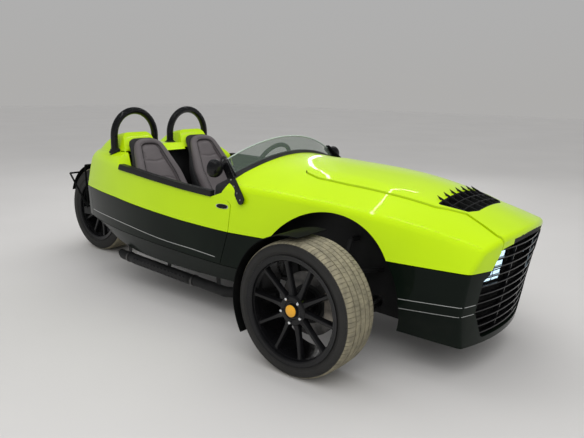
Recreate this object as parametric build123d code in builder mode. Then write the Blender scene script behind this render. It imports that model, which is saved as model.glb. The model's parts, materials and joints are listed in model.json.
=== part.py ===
from build123d import *
from collections import namedtuple
from functools import cache
from math import cos, radians, sin, sqrt
import os

# Open two-seat car with two steered wheels in front and one wide wheel behind, in millimetres.
# X is across with the driver at +X, Y runs from nose to tail and Z is up from the floor.

# Axles and tyres
wheelbase = 2540.0
front_axle_y = -1049.3
rear_axle_y = front_axle_y + wheelbase
track = 1500.0
Tyre = namedtuple("Tyre", "radius width bead")
front_tyre = Tyre(320.0, 225.0, 241.3)
rear_tyre = Tyre(328.5, 285.0, 228.6)
rim_flange = 17.0
rim_thickness = 9.0
fit_gap = 0.3
lining_gap = 0.9
bay_gap = 3.0
bead_gap = 0.6
run_gap = 5.0

# Steering
kingpin_x = 650.0
lower_ball_z = 195.0
upper_ball_z = 445.0
disc_r = 155.0
disc_thickness = 20.0
disc_x = 706.0
hub_face_x = 842.0
arm_reach = 130.0
ball_pin_r = 7.0
pin_reach = 36.0
shaft_gap = 0.05
hub_r = 74.0
stub_r = 18.0
axle_r = 12.0
lug_circle = 115.0
lug_count = 5
lug_r = 7.0
arm_z = 268.0
rod_eye_thickness = 18.0

# Body skin
wall = 8.0
panel_gap = 4.0
lid_gap = 5.0
lid_rise = 7.0
rocker_in = 14.0
keel_in = 70.0
belly_half = 380.0
belly_front_half = 440.0
tail_split = 2125.0
tub_wall = 24.0
tail_aft = 2200.0
tail_round = 85.0
nose_aft = -775.0
nose_arc_r = 1130.0
nose_lean = 10.0
nose_lip = 30.0
nose_round = 28.0
lip_z = 725.0
arch_aft = 60.0
arch_z = 317.0
arch_r = 390.0
side_reach = 1000.0

# Body sections by distance behind the front axle
crease_x = 250.0
Station = namedtuple("Station", "aft half crest crease bulge shoulder shoulder_z round belt rocker keel")
stations = [
    Station(-880, 405, 652, 629, 5.0, 352, 585, 70, 528, 326, 138),
    Station(-690, 436, 711, 687, 5.5, 384, 629, 73, 527, 326, 150),
    Station(-500, 465, 768, 744, 6.0, 412, 668, 76, 527, 326, 162),
    Station(-100, 503, 860, 836, 7.0, 454, 722, 70, 526, 330, 182),
    Station(300, 545, 893, 868, 8.0, 501, 757, 60, 528, 334, 200),
    Station(650, 596, 918, 890, 11.0, 550, 778, 62, 532, 336, 232),
    Station(1000, 611, 912, 891, 9.7, 578, 796, 70, 547, 352, 236),
    Station(1350, 600, 904, 886, 7.3, 560, 812, 90, 568, 366, 240),
    Station(1700, 555, 898, 882, 4.3, 507, 832, 110, 588, 372, 262),
    Station(2000, 487, 893, 877, 2.1, 432, 846, 120, 594, 380, 322),
    Station(2240, 405, 866, 848, 0.7, 348, 832, 115, 595, 392, 346),
]

# Shut line and cockpit edge as distance behind the front axle and height
shut_line = [(785, 1300), (785, 704), (668, 696), (645, 676), (642, 532), (712, 338), (735, 100)]
sill_edge = [(783, 709), (961, 721), (1183, 738), (1493, 758), (1690, 766)]
cowl_edge = [(668, 1300), (672, 830), (690, 776), (716, 735)]
deck_edge = [(1748, 850), (1806, 894), (1856, 988), (1870, 1300)]
band_depth = 14.0
crossbar_foot = 852.0

# Half width and height of the grille's mouth, from its foot up
grille_mouth = [(250, 182), (345, 330), (348, 482), (316, 508), (270, 624)]
grille_crown_z = 650.0

# Half width and distance aft of the bonnet's edge, from its front to its rear
lid_rear = 412.0
lid_base_z = 616.0
lid_outline = [(274, -900), (274, -694), (216, -526), (272, -393), (300, -160), (318, 60), (322, 250),
               (296, 348)]
lid_axis_aft = -736.0
lid_axis_z = 656.0
lid_eye_r = 7.0
lid_pin_r = 4.0
lid_arm_x = 120.0
vent_outline = [(140, -552), (201, -526), (256, -393)]
fin_count = 7
fin_thickness = 5.0

# Grille
slat_count = 11
slat_low = 204.0
slat_pitch = 41.0
slat_thickness = 5.0
slat_depth = 17.0
slat_setback = 8.0
lamp_reach = (188.0, 362.0)
lamp_heights = (466.0, 606.0)

# Seats, hoops and fairings
seat_x = 249.0
seat_clearance = 6.0
seat_half = 186.0
hoop_x = 240.0
hoop_aft = 1880.0
hoop_half = 169.0
hoop_tube_r = 24.0
hoop_top = 1149.0

# Engine bay and front suspension
bay_half = 300.0
bay_plate = 6.0
engine_floor_z = 216.0
engine_half = 225.0
rack_z = arm_z - run_gap - 10.0
rack_half = 250.0
spring_r = 42.0
pivot_low_z = 214.0
pivot_high_z = 424.0
spring_turns = 6
spoke_count = 10
wheel_turn = 6.5
cap_reach = 26.0
rear_face = 112.0
rear_disc = -72.0
fender_gap = 24.0
fender_thickness = 4.0
stay_x = 625.0
stay_r = 6.0
stay_angles = (62, 8)

# Exhaust
pipe_x = 490.0
pipe_r = 31.0
pipe_front_z = 142.0
pipe_rear_z = 188.0
pipe_end_aft = 1740.0
hanger_places = (820, 1250, 1640)

# Rear suspension
hoop_foot_z = 560.0
arm_x = 178.0
arm_wall = 12.0
pivot_aft = 2060.0
pivot_z = 345.0
pivot_r = 26.0
brace_reach = 90.0
tail_lamp_x = 300.0
tail_lamp_z = 700.0

# Cockpit
rail_height = 32.0
rail_over = 9.0
rail_under = 22.0
bracket_foot = (562, 572, 713)
bracket_head = (492, 767, 899)
bracket_width = 50.0
bracket_thickness = 8.0
mirror_place = (562, 772, 863)
seat_top = 956.0
floor_z = 272.0
seat_rail_z = floor_z + fit_gap
console_half = 42.0
wheel_x = 249.0
wheel_aft = 1050.0
wheel_z = 778.0
wheel_r = 165.0
wheel_tilt = 25.0
column_length = 300.0

# Screen
screen_aft = 628.0
screen_arc_r = 950.0
screen_rake = 38.0
screen_thickness = 6.0
screen_half = 478.0
screen_top = 1014.0
screen_end_z = 905.0


def aft(distance):
    """Y of a place behind the front axle."""
    return front_axle_y + distance


def side_block(outline, half_width=side_reach, middle=0.0):
    """A block across the car from a side outline of distances aft and heights."""
    with BuildPart() as block:
        with BuildSketch(Plane.YZ.offset(middle)):
            with BuildLine():
                Polyline(*[(aft(place), height) for place, height in outline], close=True)
            make_face()
        extrude(amount=half_width, both=True)
    return block.part


def box_between(low, high):
    """A box from its two far corners."""
    with BuildPart() as box:
        with Locations(tuple((a + b) / 2 for a, b in zip(low, high))):
            Box(*[b - a for a, b in zip(low, high)])
    return box.part


def rod(start, end, radius, inner=0.0):
    """A round bar or tube from start to end."""
    run = Vector(*end) - Vector(*start)
    with BuildPart() as bar:
        with BuildSketch(Plane(origin=start, z_dir=run)):
            Circle(radius)
            if inner:
                Circle(inner, mode=Mode.SUBTRACT)
        extrude(amount=run.length)
    return bar.part


@cache
def hull(inset):
    """The body's outer form from nose to tail, drawn in by inset all round."""
    with BuildPart() as form:
        for s in stations:
            with BuildSketch(Plane.XZ.offset(-aft(s.aft))) as section:
                low, bottom = s.half - rocker_in, s.half - keel_in
                flank = Vector(s.shoulder - crease_x, s.shoulder_z - s.crease)
                middle = Vector(crease_x, s.crease) + flank / 2 + Vector(-flank.Y,
                                                                         flank.X).normalized() * s.bulge
                with BuildLine():
                    ThreePointArc((-crease_x, s.crease), (0, s.crest), (crease_x, s.crease))
                    ThreePointArc((crease_x, s.crease), middle, (s.shoulder, s.shoulder_z))
                    ThreePointArc((-crease_x, s.crease), (-middle.X, middle.Y), (-s.shoulder, s.shoulder_z))
                    Polyline(
                        (s.shoulder, s.shoulder_z), (s.half, s.belt), (low, s.rocker), (bottom, s.keel),
                        (-bottom, s.keel), (-low, s.rocker), (-s.half, s.belt), (-s.shoulder, s.shoulder_z),
                    )
                make_face()
                fillet(section.vertices().sort_by(Axis.Y)[-4:-2], s.round)
                if inset:
                    offset(amount=-inset, kind=Kind.INTERSECTION)
        loft()
        add(tail_block(inset), mode=Mode.INTERSECT)
    return form.part


def tail_block(inset):
    """What lies ahead of the rounded tail face."""
    tail = aft(tail_aft) - inset
    start = aft(-900)
    corner = tail_round - inset
    with BuildPart() as block:
        with BuildSketch(Plane.YZ) as side:
            with BuildLine():
                Polyline(
                    (start, 0), (tail, 0), (tail, 864 - inset), (aft(1900), 925), (aft(1700), 1200),
                    (start, 1200), close=True,
                )
            make_face()
            fillet(side.vertices().sort_by(Axis.X)[-2:].sort_by(Axis.Y)[-1:], corner)
        extrude(amount=side_reach, both=True)
        with BuildSketch(Plane.XY) as plan:
            with BuildLine():
                Polyline(
                    (-700, start), (700, start), (700, aft(1700)), (434 - inset, tail),
                    (inset - 434, tail), (-700, aft(1700)), close=True,
                )
            make_face()
            fillet(plan.vertices().sort_by(Axis.Y)[-2:], corner)
        extrude(amount=1300, mode=Mode.INTERSECT)
    return block.part


def nose_block(setback):
    """What lies behind the leaning, drum-shaped nose face."""
    with BuildPart() as block:
        with BuildSketch(Plane((0, aft(nose_aft) + nose_arc_r + setback, lip_z))):
            Circle(nose_arc_r)
        lean = radians(nose_lean)
        extrude(amount=900, both=True, dir=(0, -sin(lean), cos(lean)))
    return block.part


@cache
def fronted(inset):
    """The hull behind the nose face, rounded where its top and sides meet the face."""
    with BuildPart() as form:
        add(hull(inset))
        add(nose_block(0), mode=Mode.INTERSECT)
        rim = form.faces().sort_by(Axis.Y)[0].edges()
        fillet([edge for edge in rim if edge.center().Z > 180], nose_round)
    return form.part


def humps(inset):
    """The two headrest fairings, drawn in by inset."""
    # distance aft, half width, top height
    rows = [(1780, 138, 984), (1900, 134, 976), (2060, 118, 922), (2170, 96, 850)]
    with BuildPart() as pair:
        for side in (-1, 1):
            for place, half, top in rows:
                with BuildSketch(Plane.XZ.offset(-aft(place))) as section:
                    with BuildLine():
                        Polyline(
                            (side * seat_x - half - 26, 780), (side * seat_x + half + 26, 780),
                            (side * seat_x + half - 26, top), (side * seat_x - half + 26, top), close=True,
                        )
                    make_face()
                    fillet(section.vertices().sort_by(Axis.Y)[-2:], 52)
                    if inset:
                        offset(amount=-inset, kind=Kind.INTERSECTION)
            loft()
    return pair.part


def zone_above(line):
    """Everything over a side line."""
    return side_block([(-1000, line[0][1])] + line + [(2500, line[-1][1]), (2500, 1400), (-1000, 1400)])


def zone_below(line):
    """Everything under a side line."""
    return side_block([(-1000, line[0][1])] + line + [(2500, line[-1][1]), (2500, 0), (-1000, 0)])


def shifted(line, along, up):
    """A side line moved as a whole."""
    return [(place + along, height + up) for place, height in line]


belt_line = [(s.aft, s.belt) for s in stations]
rocker_line = [(s.aft, s.rocker) for s in stations]
front_zone = side_block([(-1000, 0), (-1000, 1300)] + shifted(shut_line, -panel_gap / 2, 0))
rear_zone = side_block([(2500, 0), (2500, 1300)] + shifted(shut_line, panel_gap / 2, 0))
cockpit_outline = cowl_edge + sill_edge + deck_edge
cockpit_cut = side_block(cockpit_outline)
skin = hull(0)
lining = hull(wall)


def arch_cut(extra=0.0):
    """The round front wheel arch, right across the car."""
    with BuildPart() as cut:
        with BuildSketch(Plane.YZ):
            with Locations((aft(arch_aft), arch_z)):
                Circle(arch_r + extra)
        extrude(amount=side_reach, both=True)
    return cut.part


def wheel_notch():
    """The room that the rear wheel takes out of the tail."""
    with BuildPart() as cut:
        with BuildSketch(Plane.YZ):
            with Locations((rear_axle_y, rear_tyre.radius)):
                Circle(rear_tyre.radius + 38)
        extrude(amount=rear_tyre.width / 2 + 72, both=True)
    return cut.part


def grille_prism(inset):
    """The grille opening, drawn in by inset, as a block along the car."""
    with BuildPart() as prism:
        with BuildSketch(Plane.XZ.offset(-aft(nose_aft + 190))) as mouth:
            with BuildLine():
                Polyline(*[(-x, z) for x, z in reversed(grille_mouth)], *grille_mouth)
                ThreePointArc(grille_mouth[-1], (0, grille_crown_z),
                              (-grille_mouth[-1][0], grille_mouth[-1][1]))
            make_face()
            fillet(mouth.vertices().sort_by(Axis.Y)[:2], 40)
            fillet(mouth.vertices().sort_by(Axis.Y)[-2:], 24)
            if inset:
                offset(amount=-inset, kind=Kind.INTERSECTION)
        extrude(amount=400)
    return prism.part


def lid_prism(grow):
    """The bonnet's plan outline as a tall block."""
    with BuildPart() as prism:
        with BuildSketch(Plane.XY.offset(lid_base_z - grow)) as plan:
            with BuildLine():
                edge = [(x, aft(place)) for x, place in lid_outline]
                rear = Polyline(*[(-x, y) for x, y in reversed(edge)], *edge)
                ThreePointArc(rear @ 0, (0, aft(lid_rear)), rear @ 1)
            make_face()
            fillet(plan.vertices().sort_by(Axis.Y)[-2:], 50)
            if grow:
                offset(amount=grow, kind=Kind.ARC)
        extrude(amount=500)
    return prism.part


def build_front_body():
    """Lime front shell with arches, bonnet hole and grille mouth."""
    with BuildPart() as front_body:
        add(fronted(0))
        add(front_zone, mode=Mode.INTERSECT)
        add(zone_above(shifted(belt_line, 0, panel_gap / 2)), mode=Mode.INTERSECT)
        add(lining & nose_block(nose_lip), mode=Mode.SUBTRACT)
        add(grille_prism(0), mode=Mode.SUBTRACT)
        add(arch_cut(), mode=Mode.SUBTRACT)
        add(lid_prism(lid_gap), mode=Mode.SUBTRACT)
        add(cockpit_cut, mode=Mode.SUBTRACT)
    return front_body


def build_chin():
    """Black nose underpart with the foot of the grille's frame."""
    with BuildPart() as chin:
        add(fronted(0))
        add(side_block([(-1000, 0), (-1000, 900), (arch_aft, 900), (arch_aft, 0)]), mode=Mode.INTERSECT)
        add(zone_below(shifted(belt_line, 0, -panel_gap / 2)), mode=Mode.INTERSECT)
        add(lining & nose_block(nose_lip), mode=Mode.SUBTRACT)
        add(grille_prism(0), mode=Mode.SUBTRACT)
        add(arch_cut(), mode=Mode.SUBTRACT)
    return chin


def lower_side(front, back, low, high):
    """Both sides of a lower skin panel between two distances aft and two lines."""
    with BuildPart() as pair:
        add(skin)
        add(side_block([(front, 0), (front, 900), (back, 900), (back, 0)]), mode=Mode.INTERSECT)
        add(zone_above(low), mode=Mode.INTERSECT)
        add(zone_below(high), mode=Mode.INTERSECT)
        add(lining, mode=Mode.SUBTRACT)
        add(box_between((-belly_half, -3000, 0), (belly_half, 3000, 900)), mode=Mode.SUBTRACT)
        add(box_between((-belly_front_half, -3000, 0), (belly_front_half, aft(950), 900)), mode=Mode.SUBTRACT)
    return pair.part


def on_side(piece, side):
    """What of a piece lies on one side of the car."""
    with BuildPart() as one:
        add(piece)
        split(bisect_by=Plane.YZ, keep=Keep.TOP if side > 0 else Keep.BOTTOM)
    return one


def lower_panels():
    """Black quarter panels, side panels and glossy sills, by side."""
    under_belt = shifted(belt_line, 0, -panel_gap / 2)
    over_rocker = shifted(rocker_line, 0, panel_gap / 2)
    under_rocker = shifted(rocker_line, 0, -panel_gap / 2)
    floor_line = [(-900, 10), (2400, 10)]
    quarters = (lower_side(arch_aft, 900, over_rocker, under_belt) & front_zone) - arch_cut()
    sides = lower_side(600, tail_split - panel_gap, over_rocker, under_belt) & rear_zone
    tub_room = Location((0, 0, -fit_gap)) * hull(wall + lining_gap)
    sills = lower_side(arch_aft, tail_split - panel_gap, floor_line, under_rocker) - arch_cut() - tub_room
    return {"quarter_panel": quarters, "side_panel": sides, "sill": sills}


def build_tail_panel():
    """Black underpart of the tail with the notch for the rear wheel."""
    with BuildPart() as tail_panel:
        add(skin)
        add(zone_below(shifted(belt_line, 0, -panel_gap / 2)), mode=Mode.INTERSECT)
        add(side_block([(tail_split, 0), (tail_split, 900), (2500, 900), (2500, 0)]), mode=Mode.INTERSECT)
        add(lining, mode=Mode.SUBTRACT)
        add(wheel_notch(), mode=Mode.SUBTRACT)
        reach = rear_tyre.width / 2 + 72
        add(box_between((-reach, aft(2000), 0), (reach, aft(2190), 480)), mode=Mode.SUBTRACT)
    return tail_panel


def build_tub():
    """Floor, firewall, inner walls and rear bulkhead as one hollow tub."""
    form = [(662, 200), (662, 690), (1790, 700), (1790, 832), (1850, 832), (1850, 200)]
    room = [(676, floor_z), (676, 900), (1836, 900), (1836, floor_z)]
    with BuildPart() as tub:
        add(hull(wall + lining_gap))
        add(side_block(form), mode=Mode.INTERSECT)
        add(hull(wall + tub_wall) & side_block(room), mode=Mode.SUBTRACT)
        add(side_block([(660, 704), (660, 600), (700, 600), (785, 660), (1690, 715), (1775, 830),
                        (1775, 1300),
                        (660, 1300)]), mode=Mode.SUBTRACT)
    return tub


def build_rear_body():
    """Lime rear shell: both sides, deck, fairings and rounded tail."""
    with BuildPart() as rear_body:
        add(skin)
        add(humps(0))
        add(rear_zone, mode=Mode.INTERSECT)
        add(zone_above(shifted(belt_line, 0, panel_gap / 2)), mode=Mode.INTERSECT)
        add(cockpit_cut, mode=Mode.SUBTRACT)
        add(lining - side_block([(1680, 700), sill_edge[-1]] + deck_edge + shifted(deck_edge[::-1],
                                                                                   band_depth, 0)
                                + [(1705, 700)]), mode=Mode.SUBTRACT)
        add(humps(wall) & side_block([(1870, 700), (1870, 1100), (2400, 1100), (2400, 700)]),
            mode=Mode.SUBTRACT)
        add(box_between((-seat_x, aft(1600), 400), (seat_x, aft(1840), crossbar_foot)), mode=Mode.SUBTRACT)
        for side in (-1, 1):
            add(seat_shape(side, seat_clearance) & box_between((-700, aft(1500), 400), (700, aft(1840), 864)),
                mode=Mode.SUBTRACT)
        for side in (-1, 1):
            for leg in (-1, 1):
                place = (side * hoop_x + leg * hoop_half, aft(hoop_aft), 0)
                add(rod(place, (place[0], place[1], 1100), hoop_tube_r + 6), mode=Mode.SUBTRACT)
    return rear_body


def build_bonnet():
    """Raised bonnet that runs over the nose's lip, bored for its hinge pins, with slots for their arms."""
    y = aft(lid_axis_aft)
    room = lid_eye_r + run_gap
    with BuildPart() as bonnet:
        add(fronted(-lid_rise))
        add(lid_prism(0), mode=Mode.INTERSECT)
        add(lining & nose_block(nose_lip), mode=Mode.SUBTRACT)
        add(grille_prism(0), mode=Mode.SUBTRACT)
        add(vent_prism(0), mode=Mode.SUBTRACT)
        for side in (-1, 1):
            x = side * lid_arm_x
            add(box_between((x - 9, y - room, lid_base_z), (x + 9, y + 80, lid_axis_z + room)),
                mode=Mode.SUBTRACT)
            add(rod((x, y, lid_axis_z), (x + side * 42, y, lid_axis_z), lid_pin_r + shaft_gap),
                mode=Mode.SUBTRACT)
    return bonnet


def vent_prism(inset):
    """The bonnet vent's plan outline as a tall block."""
    with BuildPart() as prism:
        with BuildSketch(Plane.XY.offset(600)) as plan:
            with BuildLine():
                Polyline(*[(-x, aft(place)) for x, place in vent_outline],
                         *[(x, aft(place)) for x, place in reversed(vent_outline)], close=True)
            make_face()
            fillet(plan.vertices().sort_by(Axis.Y)[-2:], 14)
            if inset:
                offset(amount=-inset, kind=Kind.INTERSECTION)
        extrude(amount=300)
    return prism.part


def build_bonnet_vent():
    """Black fins and cross bars in a thin frame, with tips that rise at the rear edge."""
    front, back = vent_outline[0][1], vent_outline[-1][1]
    with BuildPart() as vent:
        add(vent_prism(fit_gap))
        add(vent_prism(7), mode=Mode.SUBTRACT)
        for i in range(fin_count):
            x = (i - (fin_count - 1) / 2) * 2 * vent_outline[-1][0] / (fin_count + 0.6)
            add(box_between((x - fin_thickness / 2, aft(front), 600),
                            (x + fin_thickness / 2, aft(back) - 1, 900)))
        for place in (front + 52, front + 104):
            add(box_between((-260, aft(place) - 2, 600), (260, aft(place) + 2, 900)))
        add(vent_prism(fit_gap), mode=Mode.INTERSECT)
        add(hull(1 - lid_rise), mode=Mode.INTERSECT)
        add(hull(wall + 10), mode=Mode.SUBTRACT)
    return vent


def build_grille():
    """Bowed slats on two posts, with the arms and pins that the bonnet turns on."""
    top = slat_low + (slat_count - 1) * slat_pitch + slat_thickness
    slope = sin(radians(nose_lean))
    bow = nose_arc_r - sqrt(nose_arc_r ** 2 - lid_arm_x ** 2)
    foot = nose_aft + slat_setback + bow + (lip_z - slat_low) * slope + 6
    head = nose_aft + slat_setback + bow + (lip_z - top) * slope + 6
    back = lid_axis_aft + lid_eye_r + 2 * run_gap
    with BuildPart() as grille:
        for i in range(slat_count):
            z = slat_low + i * slat_pitch
            with BuildSketch(Plane((0, aft(nose_aft) + nose_arc_r + slat_setback + (lip_z - z) * slope, z))):
                Circle(nose_arc_r)
                Circle(nose_arc_r - slat_depth, mode=Mode.SUBTRACT)
                with Locations((0, -nose_arc_r)):
                    Rectangle(850, 360, mode=Mode.INTERSECT)
            extrude(amount=slat_thickness)
        for side in (-1, 1):
            x = side * lid_arm_x
            add(side_block([(foot, slat_low), (head, top), (head + slat_depth + 8, top),
                            (foot + slat_depth + 8, slat_low)], 3, x))
        add(grille_prism(fit_gap), mode=Mode.INTERSECT)
        for side in (-1, 1):
            x = side * lid_arm_x
            y = aft(lid_axis_aft)
            add(side_block([(back, top - 4), (back, lid_axis_z - 5), (lid_axis_aft, lid_axis_z - 5),
                            (lid_axis_aft, lid_axis_z + 5), (back + 14, lid_axis_z + 5),
                            (back + 14, top - 4)], 3, x))
            add(box_between((x - 3, aft(head) + 4, top - 10), (x + 3, aft(back) + 14, top)))
            add(rod((x - 3, y, lid_axis_z), (x + 3, y, lid_axis_z), lid_eye_r))
            add(rod((x, y, lid_axis_z), (x + side * 38, y, lid_axis_z), lid_pin_r))
    return grille


def build_headlamp(side):
    """A stack of light blocks behind the upper slats, set against the back of the nose's lip."""
    setback = nose_lip + fit_gap
    with BuildPart() as lamp:
        add(nose_block(setback))
        add(nose_block(setback + 55), mode=Mode.SUBTRACT)
        reach = sorted((side * lamp_reach[0], side * lamp_reach[1]))
        add(box_between((reach[0], -3000, lamp_heights[0]), (reach[1], -1500, lamp_heights[1])),
            mode=Mode.INTERSECT)
        add(hull(wall + run_gap), mode=Mode.INTERSECT)
        for row in (1, 2):
            z = lamp_heights[0] + row * (lamp_heights[1] - lamp_heights[0]) / 3
            add(box_between((-500, -3000, z - 3), (500, -1000, z + 3)) - nose_block(setback + 20),
                mode=Mode.SUBTRACT)
        for column in (1, 2):
            x = side * (lamp_reach[0] + column * (lamp_reach[1] - lamp_reach[0]) / 3)
            add(box_between((x - 3, -3000, 400), (x + 3, -1000, 800)) - nose_block(setback + 20),
                mode=Mode.SUBTRACT)
    return lamp


def build_front_frame():
    """Upright inner panels of the engine bay and the floor between them."""
    with BuildPart() as frame:
        for side in (-1, 1):
            inner, outer = sorted((side * bay_half, side * (bay_half + bay_plate)))
            add(box_between((inner, aft(-500), 150), (outer, aft(662) - fit_gap, 1000)))
        add(box_between((-bay_half, aft(-330), engine_floor_z - 8),
                        (bay_half, aft(662) - fit_gap, engine_floor_z)))
        add(box_between((-bay_half, aft(-500), 150), (bay_half, aft(-480), engine_floor_z)))
        add(hull(wall + bay_gap), mode=Mode.INTERSECT)
        add(lid_prism(lid_gap) - hull(wall + run_gap), mode=Mode.SUBTRACT)
        for side in (-1, 1):
            start = (side * (bay_half - 20), front_axle_y, front_tyre.radius)
            add(rod(start, (side * (bay_half + 40), start[1], start[2]), 48), mode=Mode.SUBTRACT)
            start = (start[0], front_axle_y - arm_reach, rack_z)
            add(rod(start, (side * (bay_half + 40), start[1], start[2]), 30), mode=Mode.SUBTRACT)
    return frame


def build_engine():
    """The engine and gearbox as one plain block."""
    with BuildPart() as engine:
        add(box_between((-engine_half, aft(-95), engine_floor_z), (engine_half, aft(430), 700)))
    return engine


def build_suspension(side):
    """Upper and lower wishbones, spring strut and drive shaft of one front wheel."""
    plate = side * (bay_half + bay_plate)
    with BuildPart() as links:
        for ball_z, pivot_z, spread, radius in ((lower_ball_z, pivot_low_z, 140, 13),
                                                (upper_ball_z, pivot_high_z, 150, 11)):
            ball = (side * kingpin_x, front_axle_y, ball_z)
            for way in (-1, 1):
                add(rod((plate, front_axle_y + way * spread, pivot_z), ball, radius))
            add(rod((ball[0], ball[1], ball_z - 13), (ball[0], ball[1], ball_z + 13), 17))
            inward = 1 if ball_z < upper_ball_z else -1
            add(rod(ball, (ball[0], ball[1], ball_z + inward * pin_reach), ball_pin_r))
        add(box_between((min(side * 540, side * 580), front_axle_y - 44, lower_ball_z - 10),
                        (max(side * 540, side * 580), front_axle_y + 44, lower_ball_z + 10)))
        low = (side * 560, front_axle_y, lower_ball_z + 4)
        high = (side * 372, front_axle_y, 560)
        add(rod(low, high, 14))
        for turn in range(spring_turns):
            share = 0.36 + turn * 0.075
            centre = [a + (b - a) * share for a, b in zip(low, high)]
            over = [a + (b - a) * (share + 0.035) for a, b in zip(low, high)]
            add(rod(centre, over, spring_r))
        add(rod(high, (plate, front_axle_y, 560), 14))
        add(rod((side * engine_half, front_axle_y, front_tyre.radius), (side * 560, front_axle_y,
                front_tyre.radius), 14))
        add(rod((side * 560, front_axle_y, front_tyre.radius), (side * 606, front_axle_y,
                front_tyre.radius), 36))
        edge = side * (bay_half + bay_plate + fit_gap)
        for height in (pivot_low_z, pivot_high_z, 560):
            add(box_between((min(0, edge), front_axle_y - 200, height - 40),
                            (max(0, edge), front_axle_y + 200,
                            height + 40)), mode=Mode.SUBTRACT)
    return links


def build_tie_rods():
    """Rack bar with both tie rods and their eyes under the steering arms."""
    y = front_axle_y - arm_reach
    with BuildPart() as rods:
        add(rod((-kingpin_x, y, rack_z), (kingpin_x, y, rack_z), 9))
        for side in (-1, 1):
            add(rod((side * kingpin_x, y, rack_z - 10), (side * kingpin_x, y, rack_z + 10), 16))
    return rods


def build_rack():
    """Steering rack housing that the rack bar slides in."""
    y = front_axle_y - arm_reach
    with BuildPart() as rack:
        add(rod((-rack_half, y, rack_z), (rack_half, y, rack_z), 22, 9.05))
        for side in (-1, 1):
            add(box_between((side * 180 - 20, y - 20, engine_floor_z),
                            (side * 180 + 20, y + 20, rack_z - 15)))
        add(rod((-rack_half, y, rack_z), (rack_half, y, rack_z), 9.05), mode=Mode.SUBTRACT)
    return rack


def build_tyre(tyre, x, y):
    """A plain tyre on its rim."""
    half = tyre.width / 2
    axle_z = tyre.radius
    with BuildPart() as ring:
        with BuildSketch(Plane.XZ.offset(-y)) as profile:
            with BuildLine():
                Polyline(
                    (x - half + 10.6, axle_z + tyre.bead + bead_gap),
                    (x - half + 6.6, axle_z + tyre.bead + rim_flange + 0.6),
                    (x - half, axle_z + tyre.bead + 38),
                    (x - half + 12, axle_z + tyre.radius - 6), (x - half + 34, axle_z + tyre.radius),
                    (x + half - 34, axle_z + tyre.radius), (x + half - 12, axle_z + tyre.radius - 6),
                    (x + half, axle_z + tyre.bead + 38),
                    (x + half - 6.6, axle_z + tyre.bead + rim_flange + 0.6),
                    (x + half - 10.6, axle_z + tyre.bead + bead_gap),
                    close=True,
                )
            make_face()
        revolve(axis=Axis((x, y, axle_z), (1, 0, 0)))
    return ring


def build_wheel(tyre, x, y, side, face_at, disc_at):
    """Rim barrel, ten slim spokes, hub, cap and brake disc."""
    half = tyre.width / 2
    z = tyre.radius
    face = x + side * face_at
    axle = Axis((x, y, z), (1, 0, 0))
    with BuildPart() as wheel:
        with BuildSketch(Plane(origin=(face, y, z), x_dir=(0, 1, 0), z_dir=(side, 0, 0))):
            with PolarLocations(0, spoke_count, start_angle=-wheel_turn):
                with Locations((tyre.bead / 2 + 13, 0)):
                    Trapezoid(tyre.bead - 30, 30, 87, rotation=0)
            Circle(70)
        extrude(amount=-34)
        with BuildSketch(Plane.XZ.offset(-y)):
            with BuildLine():
                Polyline(
                    (face + side, z + 68), (face - side * 12, z + 84), (face - side * 2, z + tyre.bead - 14),
                    (face + side, z + tyre.bead), (face + side * 60, z + tyre.bead),
                    (face + side * 60, z + 68),
                    close=True,
                )
            make_face()
        revolve(axis=axle, mode=Mode.SUBTRACT)
        with BuildSketch(Plane.XZ.offset(-y)):
            with BuildLine():
                low, bead = z + tyre.bead - rim_thickness, z + tyre.bead
                Polyline(
                    (x - half, low + 4), (x - half, bead + rim_flange), (x - half + 6, bead + rim_flange),
                    (x - half + 10, bead), (x + half - 10, bead), (x + half - 6, bead + rim_flange),
                    (x + half, bead + rim_flange), (x + half, low + 4), (x + half - 12, low),
                    (x - half + 12, low), close=True,
                )
            make_face()
        revolve(axis=axle)
        add(rod((x + side * disc_at, y, z), (face, y, z), hub_r))
        add(rod((face, y, z), (face + side * cap_reach, y, z), 24))
        add(rod((x + side * (disc_at - disc_thickness / 2), y, z),
                (x + side * (disc_at + disc_thickness / 2), y, z),
                disc_r))
        with BuildSketch(Plane(origin=(face, y, z), x_dir=(0, 1, 0), z_dir=(side, 0, 0))):
            with PolarLocations(lug_circle / 2, lug_count, start_angle=18 - wheel_turn):
                Circle(lug_r)
        extrude(amount=-30, mode=Mode.SUBTRACT)
    return wheel


def build_front_wheel(side):
    """Front wheel with the stub shaft that runs in the knuckle."""
    x = side * track / 2
    wheel = build_wheel(front_tyre, x, front_axle_y, side, hub_face_x - track / 2, disc_x - track / 2)
    with BuildPart() as whole:
        add(wheel.part)
        axle = (front_axle_y, front_tyre.radius)
        add(rod((side * disc_x, *axle), (side * (kingpin_x - 12), *axle), stub_r))
        add(rod((side * (kingpin_x - 12), *axle), (side * (kingpin_x - 24), *axle), 30))
    return whole


def build_rear_wheel():
    """Rear wheel with the bore that runs on the swingarm's axle."""
    wheel = build_wheel(rear_tyre, 0, rear_axle_y, -1, rear_face, rear_disc)
    with BuildPart() as whole:
        add(wheel.part)
        axle = (rear_axle_y, rear_tyre.radius)
        add(rod((arm_x - 18 - run_gap, *axle), (-rear_face - cap_reach, *axle), 30))
        add(rod((arm_x, *axle), (-arm_x, *axle), axle_r + shaft_gap), mode=Mode.SUBTRACT)
    return whole


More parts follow.
